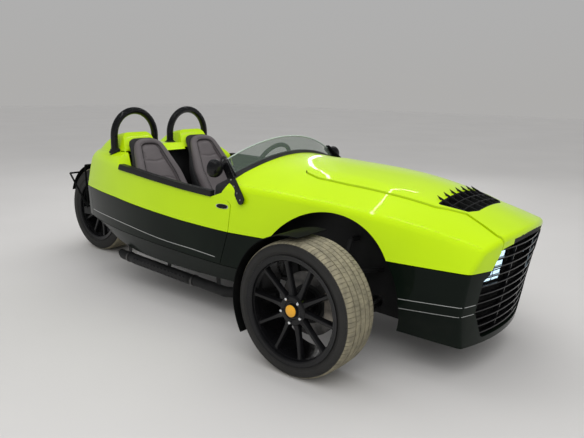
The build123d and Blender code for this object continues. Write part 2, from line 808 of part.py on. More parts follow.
def build_knuckle(side):
    """Upright between the ball joints, spindle, steering arm and brake caliper."""
    z = front_tyre.radius
    x = side * kingpin_x
    with BuildPart() as knuckle:
        low = (min(x - side * 2, x + side * 30), front_axle_y - 24, lower_ball_z + 24)
        add(box_between(low, (low[0] + 32, front_axle_y + 24, upper_ball_z - 24)))
        for ball_z in (lower_ball_z, upper_ball_z):
            way = 1 if ball_z < z else -1
            add(rod((x, front_axle_y, ball_z + way * (13 + run_gap)),
                    (x, front_axle_y, ball_z + way * 52), 16))
        add(rod((x, front_axle_y, z), (side * (disc_x - disc_thickness / 2 - run_gap), front_axle_y, z), 44))
        y = front_axle_y - arm_reach
        add(box_between((x - 14, y - 14, arm_z), (x + 14, front_axle_y, arm_z + 14)))
        caliper_y = front_axle_y - disc_r * 0.72
        caliper_x = sorted((side * (kingpin_x + 26), side * (disc_x + 40)))
        add(box_between((min(x, side * 690), caliper_y - 40, z - 38),
                        (max(x, side * 690), front_axle_y - 10, z + 40)))
        add(box_between((caliper_x[0], caliper_y - 78, arm_z + 2), (caliper_x[1], caliper_y, z + 85)))
        add(rod((side * (disc_x - disc_thickness / 2 - run_gap), front_axle_y, z),
                (side * (disc_x + disc_thickness / 2 + run_gap), front_axle_y, z), disc_r + run_gap),
            mode=Mode.SUBTRACT)
        add(rod((side * (disc_x + disc_thickness / 2), front_axle_y, z), (side * 800, front_axle_y, z),
                hub_r + run_gap), mode=Mode.SUBTRACT)
        for ball_z in (lower_ball_z, upper_ball_z):
            way = 1 if ball_z < z else -1
            add(rod((x, front_axle_y, ball_z), (x, front_axle_y, ball_z + way * (pin_reach + run_gap)),
                    ball_pin_r + shaft_gap), mode=Mode.SUBTRACT)
        add(rod((side * 600, front_axle_y, z), (side * 800, front_axle_y, z), stub_r + shaft_gap),
            mode=Mode.SUBTRACT)
    return knuckle


def build_cycle_fender(side):
    """Narrow wing that follows the tyre from its top to low behind, on two stays."""
    z = front_tyre.radius
    inner = front_tyre.radius + fender_gap
    half = front_tyre.width / 2 - 2
    x = side * track / 2
    with BuildPart() as fender:
        with BuildSketch(Plane.YZ.offset(x)):
            with Locations((front_axle_y, z)):
                Circle(inner + fender_thickness)
                Circle(inner, mode=Mode.SUBTRACT)
        extrude(amount=half, both=True)
        with BuildSketch(Plane.YZ.offset(x)):
            with BuildLine():
                reach = 2 * inner
                Polyline((front_axle_y, z), (front_axle_y - reach * sin(radians(6)), z + reach),
                         (front_axle_y + reach, z + reach), (front_axle_y + reach, z - reach * 0.6),
                         close=True)
            make_face()
        extrude(amount=half + 10, both=True, mode=Mode.INTERSECT)
        knee = (side * stay_x, front_axle_y + 120, z + 80)
        for angle in stay_angles:
            bend = (knee[0], front_axle_y + (inner + 2) * cos(radians(angle)),
                    z + (inner + 2) * sin(radians(angle)))
            add(rod(bend, (side * 650, bend[1], bend[2]), stay_r))
            add(rod(knee, bend, stay_r))
            with Locations(bend):
                Sphere(stay_r + 1)
        with Locations(knee):
            Sphere(stay_r + 2)
        add(rod((side * 664, front_axle_y + 10, z + 40), knee, stay_r))
        add(box_between((min(side * 640, side * 690), front_axle_y - 30, lower_ball_z),
                        (max(side * 640, side * 690), front_axle_y + 24 + fit_gap, upper_ball_z)),
            mode=Mode.SUBTRACT)
    return fender


def build_exhaust(side):
    """Side pipe under the sill, with a slash-cut open tip."""
    points = [(side * (bay_half + bay_plate + fit_gap), aft(560), 250), (side * 362, aft(560), 250),
              (side * 400, aft(600), pipe_front_z), (side * pipe_x, aft(760), pipe_front_z),
              (side * pipe_x, aft(pipe_end_aft), pipe_rear_z)]
    with BuildPart() as pipe:
        with BuildLine() as route:
            FilletPolyline(*points, radius=44)
        start = Plane(origin=route.line @ 0, z_dir=route.line % 0)
        with BuildSketch(start):
            Circle(pipe_r)
            Circle(pipe_r - 3, mode=Mode.SUBTRACT)
        sweep()
        with BuildSketch(Plane.YZ.offset(side * (pipe_x - 100))):
            with BuildLine():
                end = aft(pipe_end_aft)
                Polyline((end - 62, pipe_rear_z - 60), (end + 30, pipe_rear_z + 60),
                         (end + 80, pipe_rear_z + 60),
                         (end + 80, pipe_rear_z - 60), close=True)
            make_face()
        extrude(amount=side * 200, mode=Mode.SUBTRACT)
        for place in hanger_places:
            height = pipe_front_z + (pipe_rear_z - pipe_front_z) * (place - 760) / (pipe_end_aft - 760)
            add(box_between((side * pipe_x - 2, aft(place) - 15, height + pipe_r - 2),
                            (side * pipe_x + 2, aft(place) + 15, height + 130)) - hull(-fit_gap))
    return pipe


def build_roll_hoop(side):
    """Round roll hoop that stands on the rear frame."""
    x = side * hoop_x
    spring = hoop_top - hoop_tube_r - hoop_half
    with BuildPart() as hoop:
        with BuildLine(Plane.XZ.offset(-aft(hoop_aft))) as path:
            foot = Line((x - hoop_half, hoop_foot_z), (x - hoop_half, spring))
            bow = ThreePointArc(foot @ 1, (x, spring + hoop_half), (x + hoop_half, spring))
            Line(bow @ 1, (x + hoop_half, hoop_foot_z))
        with BuildSketch(Plane((x - hoop_half, aft(hoop_aft), hoop_foot_z))):
            Circle(hoop_tube_r)
        sweep()
    return hoop


def build_rear_frame():
    """Cross tubes behind the bulkhead for the hoops, the swingarm and the shock."""
    reach = hoop_x + hoop_half
    with BuildPart() as frame:
        y = aft(hoop_aft)
        add(box_between((-reach - 26, y - 26, hoop_foot_z - 50), (reach + 26, y + 26, hoop_foot_z)))
        for side in (-1, 1):
            x = side * arm_x
            add(box_between((x - 22, aft(1850) + fit_gap, hoop_foot_z - 50), (x + 22, y - 20, hoop_foot_z)))
            add(box_between((x - 22, aft(pivot_aft) - 40, pivot_z - 40),
                            (x + 22, aft(pivot_aft) + 40, pivot_z + 40)))
            add(box_between((x - 22, aft(1850) + fit_gap, pivot_z - 35),
                            (x + 22, aft(pivot_aft), pivot_z + 35)))
            add(box_between((x - 22, aft(1880) - 20, pivot_z), (x + 22, aft(1880) + 20, hoop_foot_z - 40)))
        add(box_between((-reach, aft(2040), 590), (reach, aft(2080), 630)))
        for side in (-1, 1):
            add(box_between((side * 300 - 20, y, hoop_foot_z - 40), (side * 300 + 20, aft(2060), 630)))
            add(rod((side * (arm_x - 23), aft(pivot_aft), pivot_z),
                    (side * (arm_x + 23), aft(pivot_aft), pivot_z),
                    pivot_r + fit_gap), mode=Mode.SUBTRACT)
    return frame


def build_swingarm():
    """Two-sided swingarm with its pivot tube, cross brace and axle ends."""
    z = rear_tyre.radius
    with BuildPart() as arm:
        add(rod((-arm_x - 24, aft(pivot_aft), pivot_z), (arm_x + 24, aft(pivot_aft), pivot_z), pivot_r))
        for side in (-1, 1):
            near, far = sorted((side * (arm_x - 22 + 46), side * (arm_x - 22 + 46 + arm_wall)))
            with BuildSketch(Plane.YZ.offset(near)):
                with BuildLine():
                    Polyline((aft(pivot_aft) - 30, pivot_z - 36), (aft(pivot_aft) - 30, pivot_z + 36),
                             (aft(pivot_aft) + 90, pivot_z + 46), (rear_axle_y + 46, z + 26),
                             (rear_axle_y + 46, z - 26), (aft(pivot_aft) + 90, pivot_z - 36), close=True)
                make_face()
            extrude(amount=far - near)
            add(rod((side * (arm_x - 18), rear_axle_y, z), (side * (arm_x + 30), rear_axle_y, z), 22))
            add(rod((0, rear_axle_y, z), (side * arm_x, rear_axle_y, z), axle_r))
        brace = aft(pivot_aft + brace_reach)
        add(rod((-arm_x - 24, brace, pivot_z), (arm_x + 24, brace, pivot_z), 18))
    return arm


def build_rear_shock():
    """Spring strut from the swingarm's brace up to the rear frame."""
    low = (0, aft(pivot_aft + brace_reach), pivot_z + 18 + 6)
    high = (0, aft(2060), 590 - 6.5)
    with BuildPart() as shock:
        add(rod(low, high, 16))
        for turn in range(spring_turns):
            share = 0.25 + turn * 0.09
            add(rod([a + (b - a) * share for a, b in zip(low, high)],
                    [a + (b - a) * (share + 0.045) for a, b in zip(low, high)], 38))
    return shock


def build_rear_fender():
    """Hugger over the rear tyre's top, on stays to the swingarm."""
    z = rear_tyre.radius
    inner = rear_tyre.radius + fender_gap
    half = rear_tyre.width / 2 - 12
    with BuildPart() as hugger:
        with BuildSketch(Plane.YZ):
            with Locations((rear_axle_y, z)):
                Circle(inner + fender_thickness)
                Circle(inner, mode=Mode.SUBTRACT)
        extrude(amount=half, both=True)
        with BuildSketch(Plane.YZ):
            with BuildLine():
                reach = 2 * inner
                Polyline((rear_axle_y, z), (rear_axle_y - reach * 0.18, z + reach),
                         (rear_axle_y + reach, z + reach),
                         (rear_axle_y + reach, z + reach * 0.36), close=True)
            make_face()
        extrude(amount=half + 10, both=True, mode=Mode.INTERSECT)
        for side in (-1, 1):
            foot = (side * (arm_x + 30), rear_axle_y, z + 20)
            for angle in (50, 88):
                tip = (side * (half - 4), rear_axle_y + (inner + 2) * cos(radians(angle)),
                       z + (inner + 2) * sin(radians(angle)))
                knee = (foot[0], tip[1], tip[2])
                add(rod(tip, knee, 7))
                add(rod(foot, knee, 7))
        add(build_swingarm().part, mode=Mode.SUBTRACT)
    return hugger


def build_tail_lamp(side):
    """Round lamp on the tail's lime face."""
    with BuildPart() as lamp:
        add(rod((side * tail_lamp_x, aft(tail_aft) + fit_gap, tail_lamp_z),
                (side * tail_lamp_x, aft(tail_aft) + 22, tail_lamp_z), 46))
        chamfer(lamp.faces().sort_by(Axis.Y)[-1].edges(), 6)
    return lamp


def build_side_rail(side):
    """Padded cap along the cockpit's edge."""
    rows = [(place, height + fit_gap) for place, height in sill_edge]
    rows[-1] = (1682, rows[-1][1])
    block = side_block(rows + shifted(rows[::-1], 0, rail_height))
    with BuildPart() as rail:
        add(hull(-rail_over))
        add(block, mode=Mode.INTERSECT)
        add(hull(rail_under), mode=Mode.SUBTRACT)
    return on_side(rail.part, side)


def screen_band(thickness, setback=0.0):
    """The screen's raked arc as a tall band."""
    rake = radians(screen_rake)
    with BuildPart() as band:
        with BuildSketch(Plane((0, aft(screen_aft) + screen_arc_r + setback, 904))):
            Circle(screen_arc_r)
            Circle(screen_arc_r - thickness, mode=Mode.SUBTRACT)
            with Locations((0, -screen_arc_r)):
                Rectangle(2 * screen_half, 700, mode=Mode.INTERSECT)
        extrude(amount=260, both=True, dir=(0, sin(rake), cos(rake)))
    return band.part


def build_windscreen():
    """Low bowed screen that stands just over the cowl."""
    with BuildPart() as screen:
        add(screen_band(screen_thickness))
        with BuildSketch(Plane.XZ.offset(-aft(400))):
            with BuildLine():
                Polyline((-screen_half, screen_end_z), (-screen_half, 600), (screen_half, 600),
                         (screen_half, screen_end_z))
                ThreePointArc((screen_half, screen_end_z), (0, screen_top), (-screen_half, screen_end_z))
            make_face()
        extrude(amount=-700, mode=Mode.INTERSECT)
        add(hull(-4), mode=Mode.SUBTRACT)
    return screen


def build_screen_seal():
    """Grey strip that holds the screen's foot on the cowl."""
    with BuildPart() as seal:
        add(screen_band(screen_thickness + 14, -7))
        add(hull(-16), mode=Mode.INTERSECT)
        add(hull(-fit_gap), mode=Mode.SUBTRACT)
        add(screen_band(screen_thickness + 2 * fit_gap, -fit_gap), mode=Mode.SUBTRACT)
        add(side_block([(500, 700), (500, 1300), (760, 1300), (760, 700)]), mode=Mode.INTERSECT)
    return seal


def build_screen_bracket(side):
    """Flat strap from the body's side up to the end of the screen."""
    foot = Vector(side * bracket_foot[0], aft(bracket_foot[1]), bracket_foot[2])
    head = Vector(side * bracket_head[0], aft(bracket_head[1]), bracket_head[2])
    run = head - foot
    out = Vector(side, 0, 0) - run * (side * run.X / run.length ** 2)
    with BuildPart() as strap:
        with BuildSketch(Plane(origin=(foot + head) * 0.5, x_dir=run, z_dir=out)):
            SlotOverall(run.length + bracket_width, bracket_width)
        extrude(amount=bracket_thickness)
        add(hull(-fit_gap), mode=Mode.SUBTRACT)
    return strap


def build_mirror(side):
    """Round mirror head on a short stalk off the strap."""
    x = side * mirror_place[0]
    y = aft(mirror_place[1])
    z = mirror_place[2]
    with BuildPart() as mirror:
        with BuildSketch(Plane.XY.offset(z)):
            with BuildLine():
                Polyline((x, y - 42), (x, y + 6), (x + 50, y + 6), (x + 50, y - 8))
                ThreePointArc((x + 50, y - 8), (x + 32, y - 34), (x, y - 42))
            make_face()
        revolve(axis=Axis((x, y, z), (0, 1, 0)))
        head = (side * (bracket_head[0] + 13), aft(bracket_head[1]) - 18, bracket_head[2] - 16)
        add(rod((x, y - 22, z), head, 8))
        add(build_screen_bracket(side).part, mode=Mode.SUBTRACT)
    return mirror


def seat_shape(side, grow=0.0):
    """The seat back's outline from the front, as a block along the car."""
    x = side * seat_x
    with BuildPart() as block:
        with BuildSketch(Plane.XZ.offset(-aft(1400))) as shape:
            with BuildLine():
                Polyline((x - seat_half, 250), (x - seat_half, 700), (x - 128, 890), (x - 118, seat_top),
                         (x + 118, seat_top), (x + 128, 890), (x + seat_half, 700), (x + seat_half, 250),
                         close=True)
            make_face()
            fillet(shape.vertices().sort_by(Axis.Y)[-2:], 70)
            if grow:
                offset(amount=grow, kind=Kind.INTERSECTION)
        extrude(amount=-600)
    return block.part


def build_seat(side):
    """Bucket seat: squab, leaning back with a rounded top, and side bolsters."""
    x = side * seat_x
    with BuildPart() as seat:
        add(side_block([(1500, 300), (1425, 430), (1440, 500), (1705, 905), (1745, 946), (1800, 946),
                        (1786, 894),
                        (1732, 838), (1600, 300)], seat_half, x))
        add(seat_shape(side), mode=Mode.INTERSECT)
        add(side_block([(1075, 300), (1070, 420), (1110, 452), (1440, 415), (1520, 415), (1520, 300)],
                       190, x))
        for way in (-1, 1):
            add(side_block([(1090, 300), (1085, 440), (1120, 478), (1420, 470), (1520, 440), (1520, 300)], 22,
                           x + way * 168))
        add(box_between((x - 150, aft(1120), seat_rail_z), (x + 150, aft(1480), 302)))
        add(box_between((-700, aft(1000), 200), (700, aft(1900), 700)) - hull(wall + tub_wall + fit_gap),
            mode=Mode.SUBTRACT)
    return seat


def build_dashboard():
    """Dash across the cockpit under the screen, with a hood before the driver."""
    with BuildPart() as dash:
        add(hull(wall + tub_wall + 2))
        add(side_block([(676 + fit_gap, 600), (676 + fit_gap, 826), (738, 838), (792, 770), (782, 640),
                        (740, 600)]),
            mode=Mode.INTERSECT)
        add(box_between((-700, aft(600), 500), (700, aft(676.3), 1000)), mode=Mode.SUBTRACT)
        add(rod((wheel_x, aft(745), 836), (wheel_x, aft(800), 812), 78))
        add(hull(wall + tub_wall + 2), mode=Mode.INTERSECT)
    return dash


def steering_plane(along=0.0):
    """Plane of the steering wheel, moved along its column towards the driver."""
    tilt = radians(wheel_tilt)
    normal = Vector(0, cos(tilt), sin(tilt))
    return Plane(origin=Vector(wheel_x, aft(wheel_aft), wheel_z) + normal * along, x_dir=(1, 0, 0),
                 z_dir=normal)


def build_steering_wheel():
    """Rim, three spokes, boss and the shaft that runs into the column."""
    with BuildPart() as wheel:
        with Locations(steering_plane()):
            Torus(wheel_r, 14)
        with BuildSketch(steering_plane(-12)):
            Circle(42)
            for angle in (0, 180, 270):
                with Locations(Rot(0, 0, angle)):
                    with Locations((wheel_r / 2, 0)):
                        Rectangle(wheel_r, 24)
        extrude(amount=8)
        with BuildSketch(steering_plane(-45)):
            Circle(26)
        extrude(amount=40)
        with BuildSketch(steering_plane(-90)):
            Circle(10)
        extrude(amount=60)
    return wheel


def build_steering_column():
    """Column tube from behind the wheel's boss into the dash."""
    with BuildPart() as column:
        with BuildSketch(steering_plane(-column_length)):
            Circle(28)
        extrude(amount=column_length - 45 - run_gap)
        with BuildSketch(steering_plane(-96)):
            Circle(10.05)
        extrude(amount=60, mode=Mode.SUBTRACT)
        add(build_dashboard().part, mode=Mode.SUBTRACT)
    return column


def build_console():
    """Tunnel between the seats with the shift lever."""
    with BuildPart() as console:
        add(side_block([(770, floor_z), (770, 560), (900, 500), (1500, 470), (1560, floor_z)], console_half))
        fillet(console.edges().filter_by(Axis.Y).sort_by(Axis.Z)[-2:], 12)
        add(rod((0, aft(960), 480), (0, aft(945), 590), 8))
        with Locations((0, aft(944), 600)):
            Sphere(24)
        add(hull(wall + tub_wall + lining_gap), mode=Mode.INTERSECT)
    return console


def finish(piece, label):
    """Name a piece and write it out."""
    piece.part.label = label
    export_step(piece.part, f"parts/{label}.step")


os.makedirs("parts", exist_ok=True)
panels = lower_panels()
single = {
    "front_body": build_front_body, "bonnet": build_bonnet, "bonnet_vent": build_bonnet_vent,
    "chin": build_chin, "front_grille": build_grille, "rear_body": build_rear_body,
    "tail_panel": build_tail_panel, "tub": build_tub, "front_frame": build_front_frame,
    "engine_block": build_engine, "tie_rods": build_tie_rods, "steering_rack": build_rack,
    "rear_frame": build_rear_frame, "swingarm": build_swingarm, "rear_shock": build_rear_shock,
    "rear_fender": build_rear_fender, "windscreen": build_windscreen, "screen_seal": build_screen_seal,
    "dashboard": build_dashboard, "steering_wheel": build_steering_wheel,
    "steering_column": build_steering_column, "centre_console": build_console,
}
paired = {
    "headlamp": build_headlamp, "suspension": build_suspension, "knuckle": build_knuckle,
    "cycle_fender": build_cycle_fender, "exhaust": build_exhaust, "roll_hoop": build_roll_hoop,
    "tail_lamp": build_tail_lamp, "side_rail": build_side_rail, "screen_bracket": build_screen_bracket,
    "mirror": build_mirror, "seat": build_seat,
}
for label, make in single.items():
    finish(make(), label)
for side, hand in ((1, "left"), (-1, "right")):
    for label, make in paired.items():
        finish(make(side), f"{label}_{hand}")
    for label, piece in panels.items():
        finish(on_side(piece, side), f"{label}_{hand}")
    finish(build_tyre(front_tyre, side * track / 2, front_axle_y), f"tyre_{hand}")
    finish(build_front_wheel(side), f"wheel_{hand}")
finish(build_tyre(rear_tyre, 0, rear_axle_y), "tyre_rear")
finish(build_rear_wheel(), "wheel_rear")
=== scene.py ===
"""Dressed scene of an open two-seat car with two steered front wheels and one wide rear wheel.

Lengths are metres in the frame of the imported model: X across with the driver at +X, Y from nose to
tail, Z up from the floor.
"""

from __future__ import annotations

import json
import logging
import math
from dataclasses import dataclass, field
from enum import Enum
from typing import Sequence

import bmesh
import bpy
import numpy as np
from mathutils import Matrix, Vector
from mathutils.bvhtree import BVHTree

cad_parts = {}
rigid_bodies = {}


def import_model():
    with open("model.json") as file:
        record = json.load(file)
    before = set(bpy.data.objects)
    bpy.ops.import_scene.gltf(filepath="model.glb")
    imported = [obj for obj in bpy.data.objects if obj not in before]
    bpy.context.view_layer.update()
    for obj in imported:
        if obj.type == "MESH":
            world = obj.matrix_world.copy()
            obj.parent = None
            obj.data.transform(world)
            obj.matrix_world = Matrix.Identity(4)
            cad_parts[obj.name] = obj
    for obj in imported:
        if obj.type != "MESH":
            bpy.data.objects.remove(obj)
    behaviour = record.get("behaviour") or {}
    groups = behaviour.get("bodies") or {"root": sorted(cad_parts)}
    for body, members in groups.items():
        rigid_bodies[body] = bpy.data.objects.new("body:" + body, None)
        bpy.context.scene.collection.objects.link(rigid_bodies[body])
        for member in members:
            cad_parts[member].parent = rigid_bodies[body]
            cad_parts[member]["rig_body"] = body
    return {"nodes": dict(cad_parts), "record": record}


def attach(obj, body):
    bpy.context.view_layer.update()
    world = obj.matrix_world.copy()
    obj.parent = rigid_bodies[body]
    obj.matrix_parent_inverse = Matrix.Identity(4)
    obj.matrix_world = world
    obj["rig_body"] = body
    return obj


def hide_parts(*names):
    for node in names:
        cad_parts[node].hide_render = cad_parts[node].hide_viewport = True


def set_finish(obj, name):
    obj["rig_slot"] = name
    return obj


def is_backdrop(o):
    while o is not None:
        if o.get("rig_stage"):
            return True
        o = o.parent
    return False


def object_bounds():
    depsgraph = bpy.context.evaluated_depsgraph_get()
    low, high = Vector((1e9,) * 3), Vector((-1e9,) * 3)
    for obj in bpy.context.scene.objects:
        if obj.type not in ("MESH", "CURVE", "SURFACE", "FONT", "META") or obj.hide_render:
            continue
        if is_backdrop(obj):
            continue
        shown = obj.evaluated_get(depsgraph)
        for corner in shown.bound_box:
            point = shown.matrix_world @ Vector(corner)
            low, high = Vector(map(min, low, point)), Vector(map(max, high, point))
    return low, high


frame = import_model()
log = logging.getLogger("car")

Point = tuple[float, float, float]
Colour = tuple[float, float, float]
Verts = Sequence[Sequence[float]]
Faces = Sequence[Sequence[int]]

FRONT_AXLE = -1.0493
REAR_AXLE = 1.4907
MM = 0.001


class Side(Enum):
    """Left is the driver's side at +X, right the side nearest the camera."""

    LEFT = 1
    RIGHT = -1

    @property
    def tag(self) -> str:
        """The word that names of this side end in."""
        return self.name.lower()


def aft(distance: float) -> float:
    """Y of a place behind the front axle, both in metres."""
    return FRONT_AXLE + distance


# Node graphs


class Wire:
    """A socket that takes part in Python arithmetic by adding Math nodes to its graph."""

    def __init__(self, graph: "Graph", link: bpy.types.NodeSocket) -> None:
        """Keep the graph and the socket."""
        self.graph = graph
        self.link = link

    def _math(self, operation: str, *values: "Wire | float") -> "Wire":
        """Add a Math node."""
        return self.graph.node("ShaderNodeMath", {"operation": operation}, values)

    def __add__(self, other: "Wire | float") -> "Wire":
        """This plus the other."""
        return self._math("ADD", self, other)

    __radd__ = __add__

    def __sub__(self, other: "Wire | float") -> "Wire":
        """This less the other."""
        return self._math("SUBTRACT", self, other)

    def __rsub__(self, other: float) -> "Wire":
        """A number less this."""
        return self._math("SUBTRACT", other, self)

    def __mul__(self, other: "Wire | float") -> "Wire":
        """This times the other."""
        return self._math("MULTIPLY", self, other)

    def __truediv__(self, other: "Wire | float") -> "Wire":
        """This over the other."""
        return self._math("DIVIDE", self, other)

    def __abs__(self) -> "Wire":
        """The size without the sign."""
        return self._math("ABSOLUTE", self)

    def wrap(self, period: float) -> "Wire":
        """Distance into the current period, from 0 up."""
        return self._math("WRAP", self, period, 0.0)

    def clamp(self) -> "Wire":
        """The value held between 0 and 1."""
        return self.graph.node("ShaderNodeClamp", {}, (self, 0.0, 1.0))

    def rise(self, low: float, high: float) -> "Wire":
        """A smooth step from 0 at low to 1 at high.

        Args:
            low: where the step starts.
            high: where it ends.

        Returns:
            The wire of the step.
        """
        return self.graph.node(
            "ShaderNodeMapRange", {"interpolation_type": "SMOOTHSTEP"}, (self, low, high, 0.0, 1.0)
        )


class Graph:
    """A node tree with one method that makes any node."""

    def __init__(self, tree: bpy.types.NodeTree) -> None:
        """Keep the tree."""
        self.tree = tree

    def node(self, kind: str, settings: dict | None = None, inputs: dict | Sequence | None = None,
             output: int | str = 0) -> Wire:
        """Add a node.

        Args:
            kind: Blender's type name of the node.
            settings: properties that are set first; "stops" holds a ramp's (place, colour) pairs.
            inputs: values or wires, by socket name or index, or in order.
            output: the output socket to hand back.

        Returns:
            The wire of that output.
        """
        made = self.tree.nodes.new(kind)
        for key, value in (settings or {}).items():
            if key == "stops":
                self._stops(made.color_ramp, value)
            else:
                setattr(made, key, value)
        pairs = inputs.items() if isinstance(inputs, dict) else enumerate(inputs or ())
        for key, value in pairs:
            if isinstance(value, Wire):
                self.tree.links.new(value.link, made.inputs[key])
            elif value is not None:
                made.inputs[key].default_value = value
        return Wire(self, made.outputs[output] if made.outputs else None)

    @staticmethod
    def _stops(ramp: bpy.types.ColorRamp, stops: Sequence[tuple[float, Colour]]) -> None:
        """Set a ramp's stops.

        Args:
            ramp: the ramp.
            stops: (place, colour) pairs.
        """
        while len(ramp.elements) < len(stops):
            ramp.elements.new(0.5)
        for element, (place, colour) in zip(ramp.elements, stops):
            element.position = place
            element.color = (*colour, 1.0)


class Shader(Graph):
    """A material's graph with the patterns that several finishes use."""

    def __init__(self, name: str) -> None:
        """Make the material and the wires of its object coordinates.

        Args:
            name: the material's name.
        """
        self.made = bpy.data.materials.new(name)
        self.made.use_nodes = True
        super().__init__(self.made.node_tree)
        self.tree.nodes.clear()
        self.place = self.node("ShaderNodeTexCoord", output="Object")
        self.x, self.y, self.z = (
            self.node("ShaderNodeSeparateXYZ", {}, (self.place,), axis) for axis in "XYZ"
        )

    def noise(self, scale: float, detail: float = 3.0) -> Wire:
        """Soft noise around 0.5."""
        return self.node("ShaderNodeTexNoise", {}, {"Vector": self.place, "Scale": scale, "Detail": detail})

    def cells(self, scale: float, feature: str = "F1") -> Wire:
        """Distance in a field of cells."""
        inputs = {"Vector": self.place, "Scale": scale}
        return self.node("ShaderNodeTexVoronoi", {"feature": feature}, inputs, "Distance")

    def mix(self, low: Wire | Colour, high: Wire | Colour, share: Wire | float) -> Wire:
        """Blend two colours."""
        pair = [c if isinstance(c, Wire) else (*c, 1.0) for c in (low, high)]
        return self.node("ShaderNodeMix", {"data_type": "RGBA"}, {0: share, 6: pair[0], 7: pair[1]}, 2)

    def bump(self, height: Wire, depth: float, strength: float) -> Wire:
        """Normals from a height pattern whose full range is depth metres."""
        return self.node("ShaderNodeBump", {}, {"Strength": strength, "Distance": depth, "Height": height},
                         "Normal")

    def surface(self, **sockets: Wire | float | Colour) -> bpy.types.Material:
        """Close the graph with one Principled shader.

        Args:
            sockets: the shader's sockets, with underscores for spaces.

        Returns:
            The finished material.
        """
        inputs = {}
        for key, value in sockets.items():
            if isinstance(value, tuple) and len(value) == 3:
                value = (*value, 1.0)
            inputs[key.replace("_", " ")] = value
        shader = self.node("ShaderNodeBsdfPrincipled", {}, inputs)
        self.node("ShaderNodeOutputMaterial", {}, {"Surface": shader})
        return self.made


# Finishes


@dataclass(frozen=True)
class Finish:
    """A surface finish that makes its material once."""

    name: str

    def material(self) -> bpy.types.Material:
        """The finish's material, made at its first use."""
        return bpy.data.materials.get(self.name) or self.shade(Shader(self.name))

    def shade(self, g: Shader) -> bpy.types.Material:
        """Build the material's graph.

        Args:
            g: an empty graph with the material's name.

        Returns:
            The finished material.
        """
        raise NotImplementedError


@dataclass(frozen=True)
class Lacquer(Finish):
    """Sprayed body paint under clear lacquer, with faint dust low down."""

    colour: Colour = (0.5, 0.5, 0.5)
    deep: Colour = (0.4, 0.4, 0.4)
    dust: float = 0.3
    base_rough: float = 0.38
    coat: float = 1.0
    coat_ior: float = 1.4
    shine: float = 0.25

    def shade(self, g: Shader) -> bpy.types.Material:
        """Paint whose tone drifts slightly, under a coat with a trace of orange peel.

        Args:
            g: the material's empty graph.

        Returns:
            The finished material.
        """
        drift = g.noise(2.3, 2.0).rise(0.35, 0.65)
        tone = g.mix(self.deep, self.colour, drift)
        low = 1.0 - g.z.rise(0.12, 0.52)
        film = (low * g.noise(14.0, 6.0).rise(0.42, 0.78) * self.dust).clamp()
        tone = g.mix(tone, (0.22, 0.20, 0.17), film * 0.5)
        peel = g.noise(230.0, 2.0)
        return g.surface(
            Base_Color=tone,
            Roughness=self.base_rough + film * 0.4 + (g.noise(60.0, 3.0) - 0.5) * 0.06,
            Coat_Weight=(self.coat - film).clamp(),
            Coat_Roughness=0.035,
            Coat_IOR=self.coat_ior,
            Specular_IOR_Level=self.shine,
            Normal=g.bump(peel, 0.00012, 0.35),
        )


@dataclass(frozen=True)
class Moulded(Finish):
    """Moulded or powder-coated black with a fine grain."""

    colour: Colour = (0.02, 0.02, 0.02)
    worn: Colour = (0.05, 0.05, 0.05)
    rough: float = 0.45
    grain: float = 900.0
    depth: float = 0.00015
    coat: float = 0.0
    shine: float = 0.35

    def shade(self, g: Shader) -> bpy.types.Material:
        """Grained surface whose sheen and tone vary with handling.

        Args:
            g: the material's empty graph.

        Returns:
            The finished material.
        """
        cells = g.cells(self.grain)
        patch = g.noise(9.0, 5.0).rise(0.35, 0.72)
        tone = g.mix(self.colour, self.worn, patch * 0.7 + cells * 0.2)
        return g.surface(
            Base_Color=tone,
            Roughness=(self.rough + (patch - 0.5) * 0.16 + cells * 0.06).clamp(),
            Coat_Weight=self.coat,
            Coat_Roughness=0.08,
            Coat_IOR=1.35,
            Specular_IOR_Level=self.shine,
            Normal=g.bump(cells, self.depth, 0.5),
        )


@dataclass(frozen=True)
class Metal(Finish):
    """Bare or plated metal."""

    colour: Colour = (0.6, 0.6, 0.6)
    dull: Colour = (0.35, 0.34, 0.33)
    rough: float = 0.3
    scale: float = 120.0

    def shade(self, g: Shader) -> bpy.types.Material:
        """Fine worked grain with duller patches.

        Args:
            g: the material's empty graph.

        Returns:
            The finished material.
        """
        lines = g.noise(self.scale, 4.0)
        patch = g.noise(18.0, 4.0).rise(0.4, 0.7)
        return g.surface(
            Base_Color=g.mix(self.colour, self.dull, patch),
            Metallic=1.0,
            Roughness=(self.rough + patch * 0.15 + (lines - 0.5) * 0.2).clamp(),
            Normal=g.bump(lines, 0.00008, 0.35),
        )


@dataclass(frozen=True)
class Clear(Finish):
    """Glass or lens plastic."""

    colour: Colour = (0.8, 0.85, 0.83)
    rough: float = 0.0
    ior: float = 1.45

    def shade(self, g: Shader) -> bpy.types.Material:
        """Tinted see-through shader with a breath of haze.

        Args:
            g: the material's empty graph.

        Returns:
            The finished material.
        """
        haze = g.noise(7.0, 4.0).rise(0.5, 0.85)
        return g.surface(
            Base_Color=g.mix(self.colour, tuple(c * 0.93 for c in self.colour), haze),
            Roughness=self.rough + haze * 0.02,
            Transmission_Weight=1.0,
            IOR=self.ior,
        )


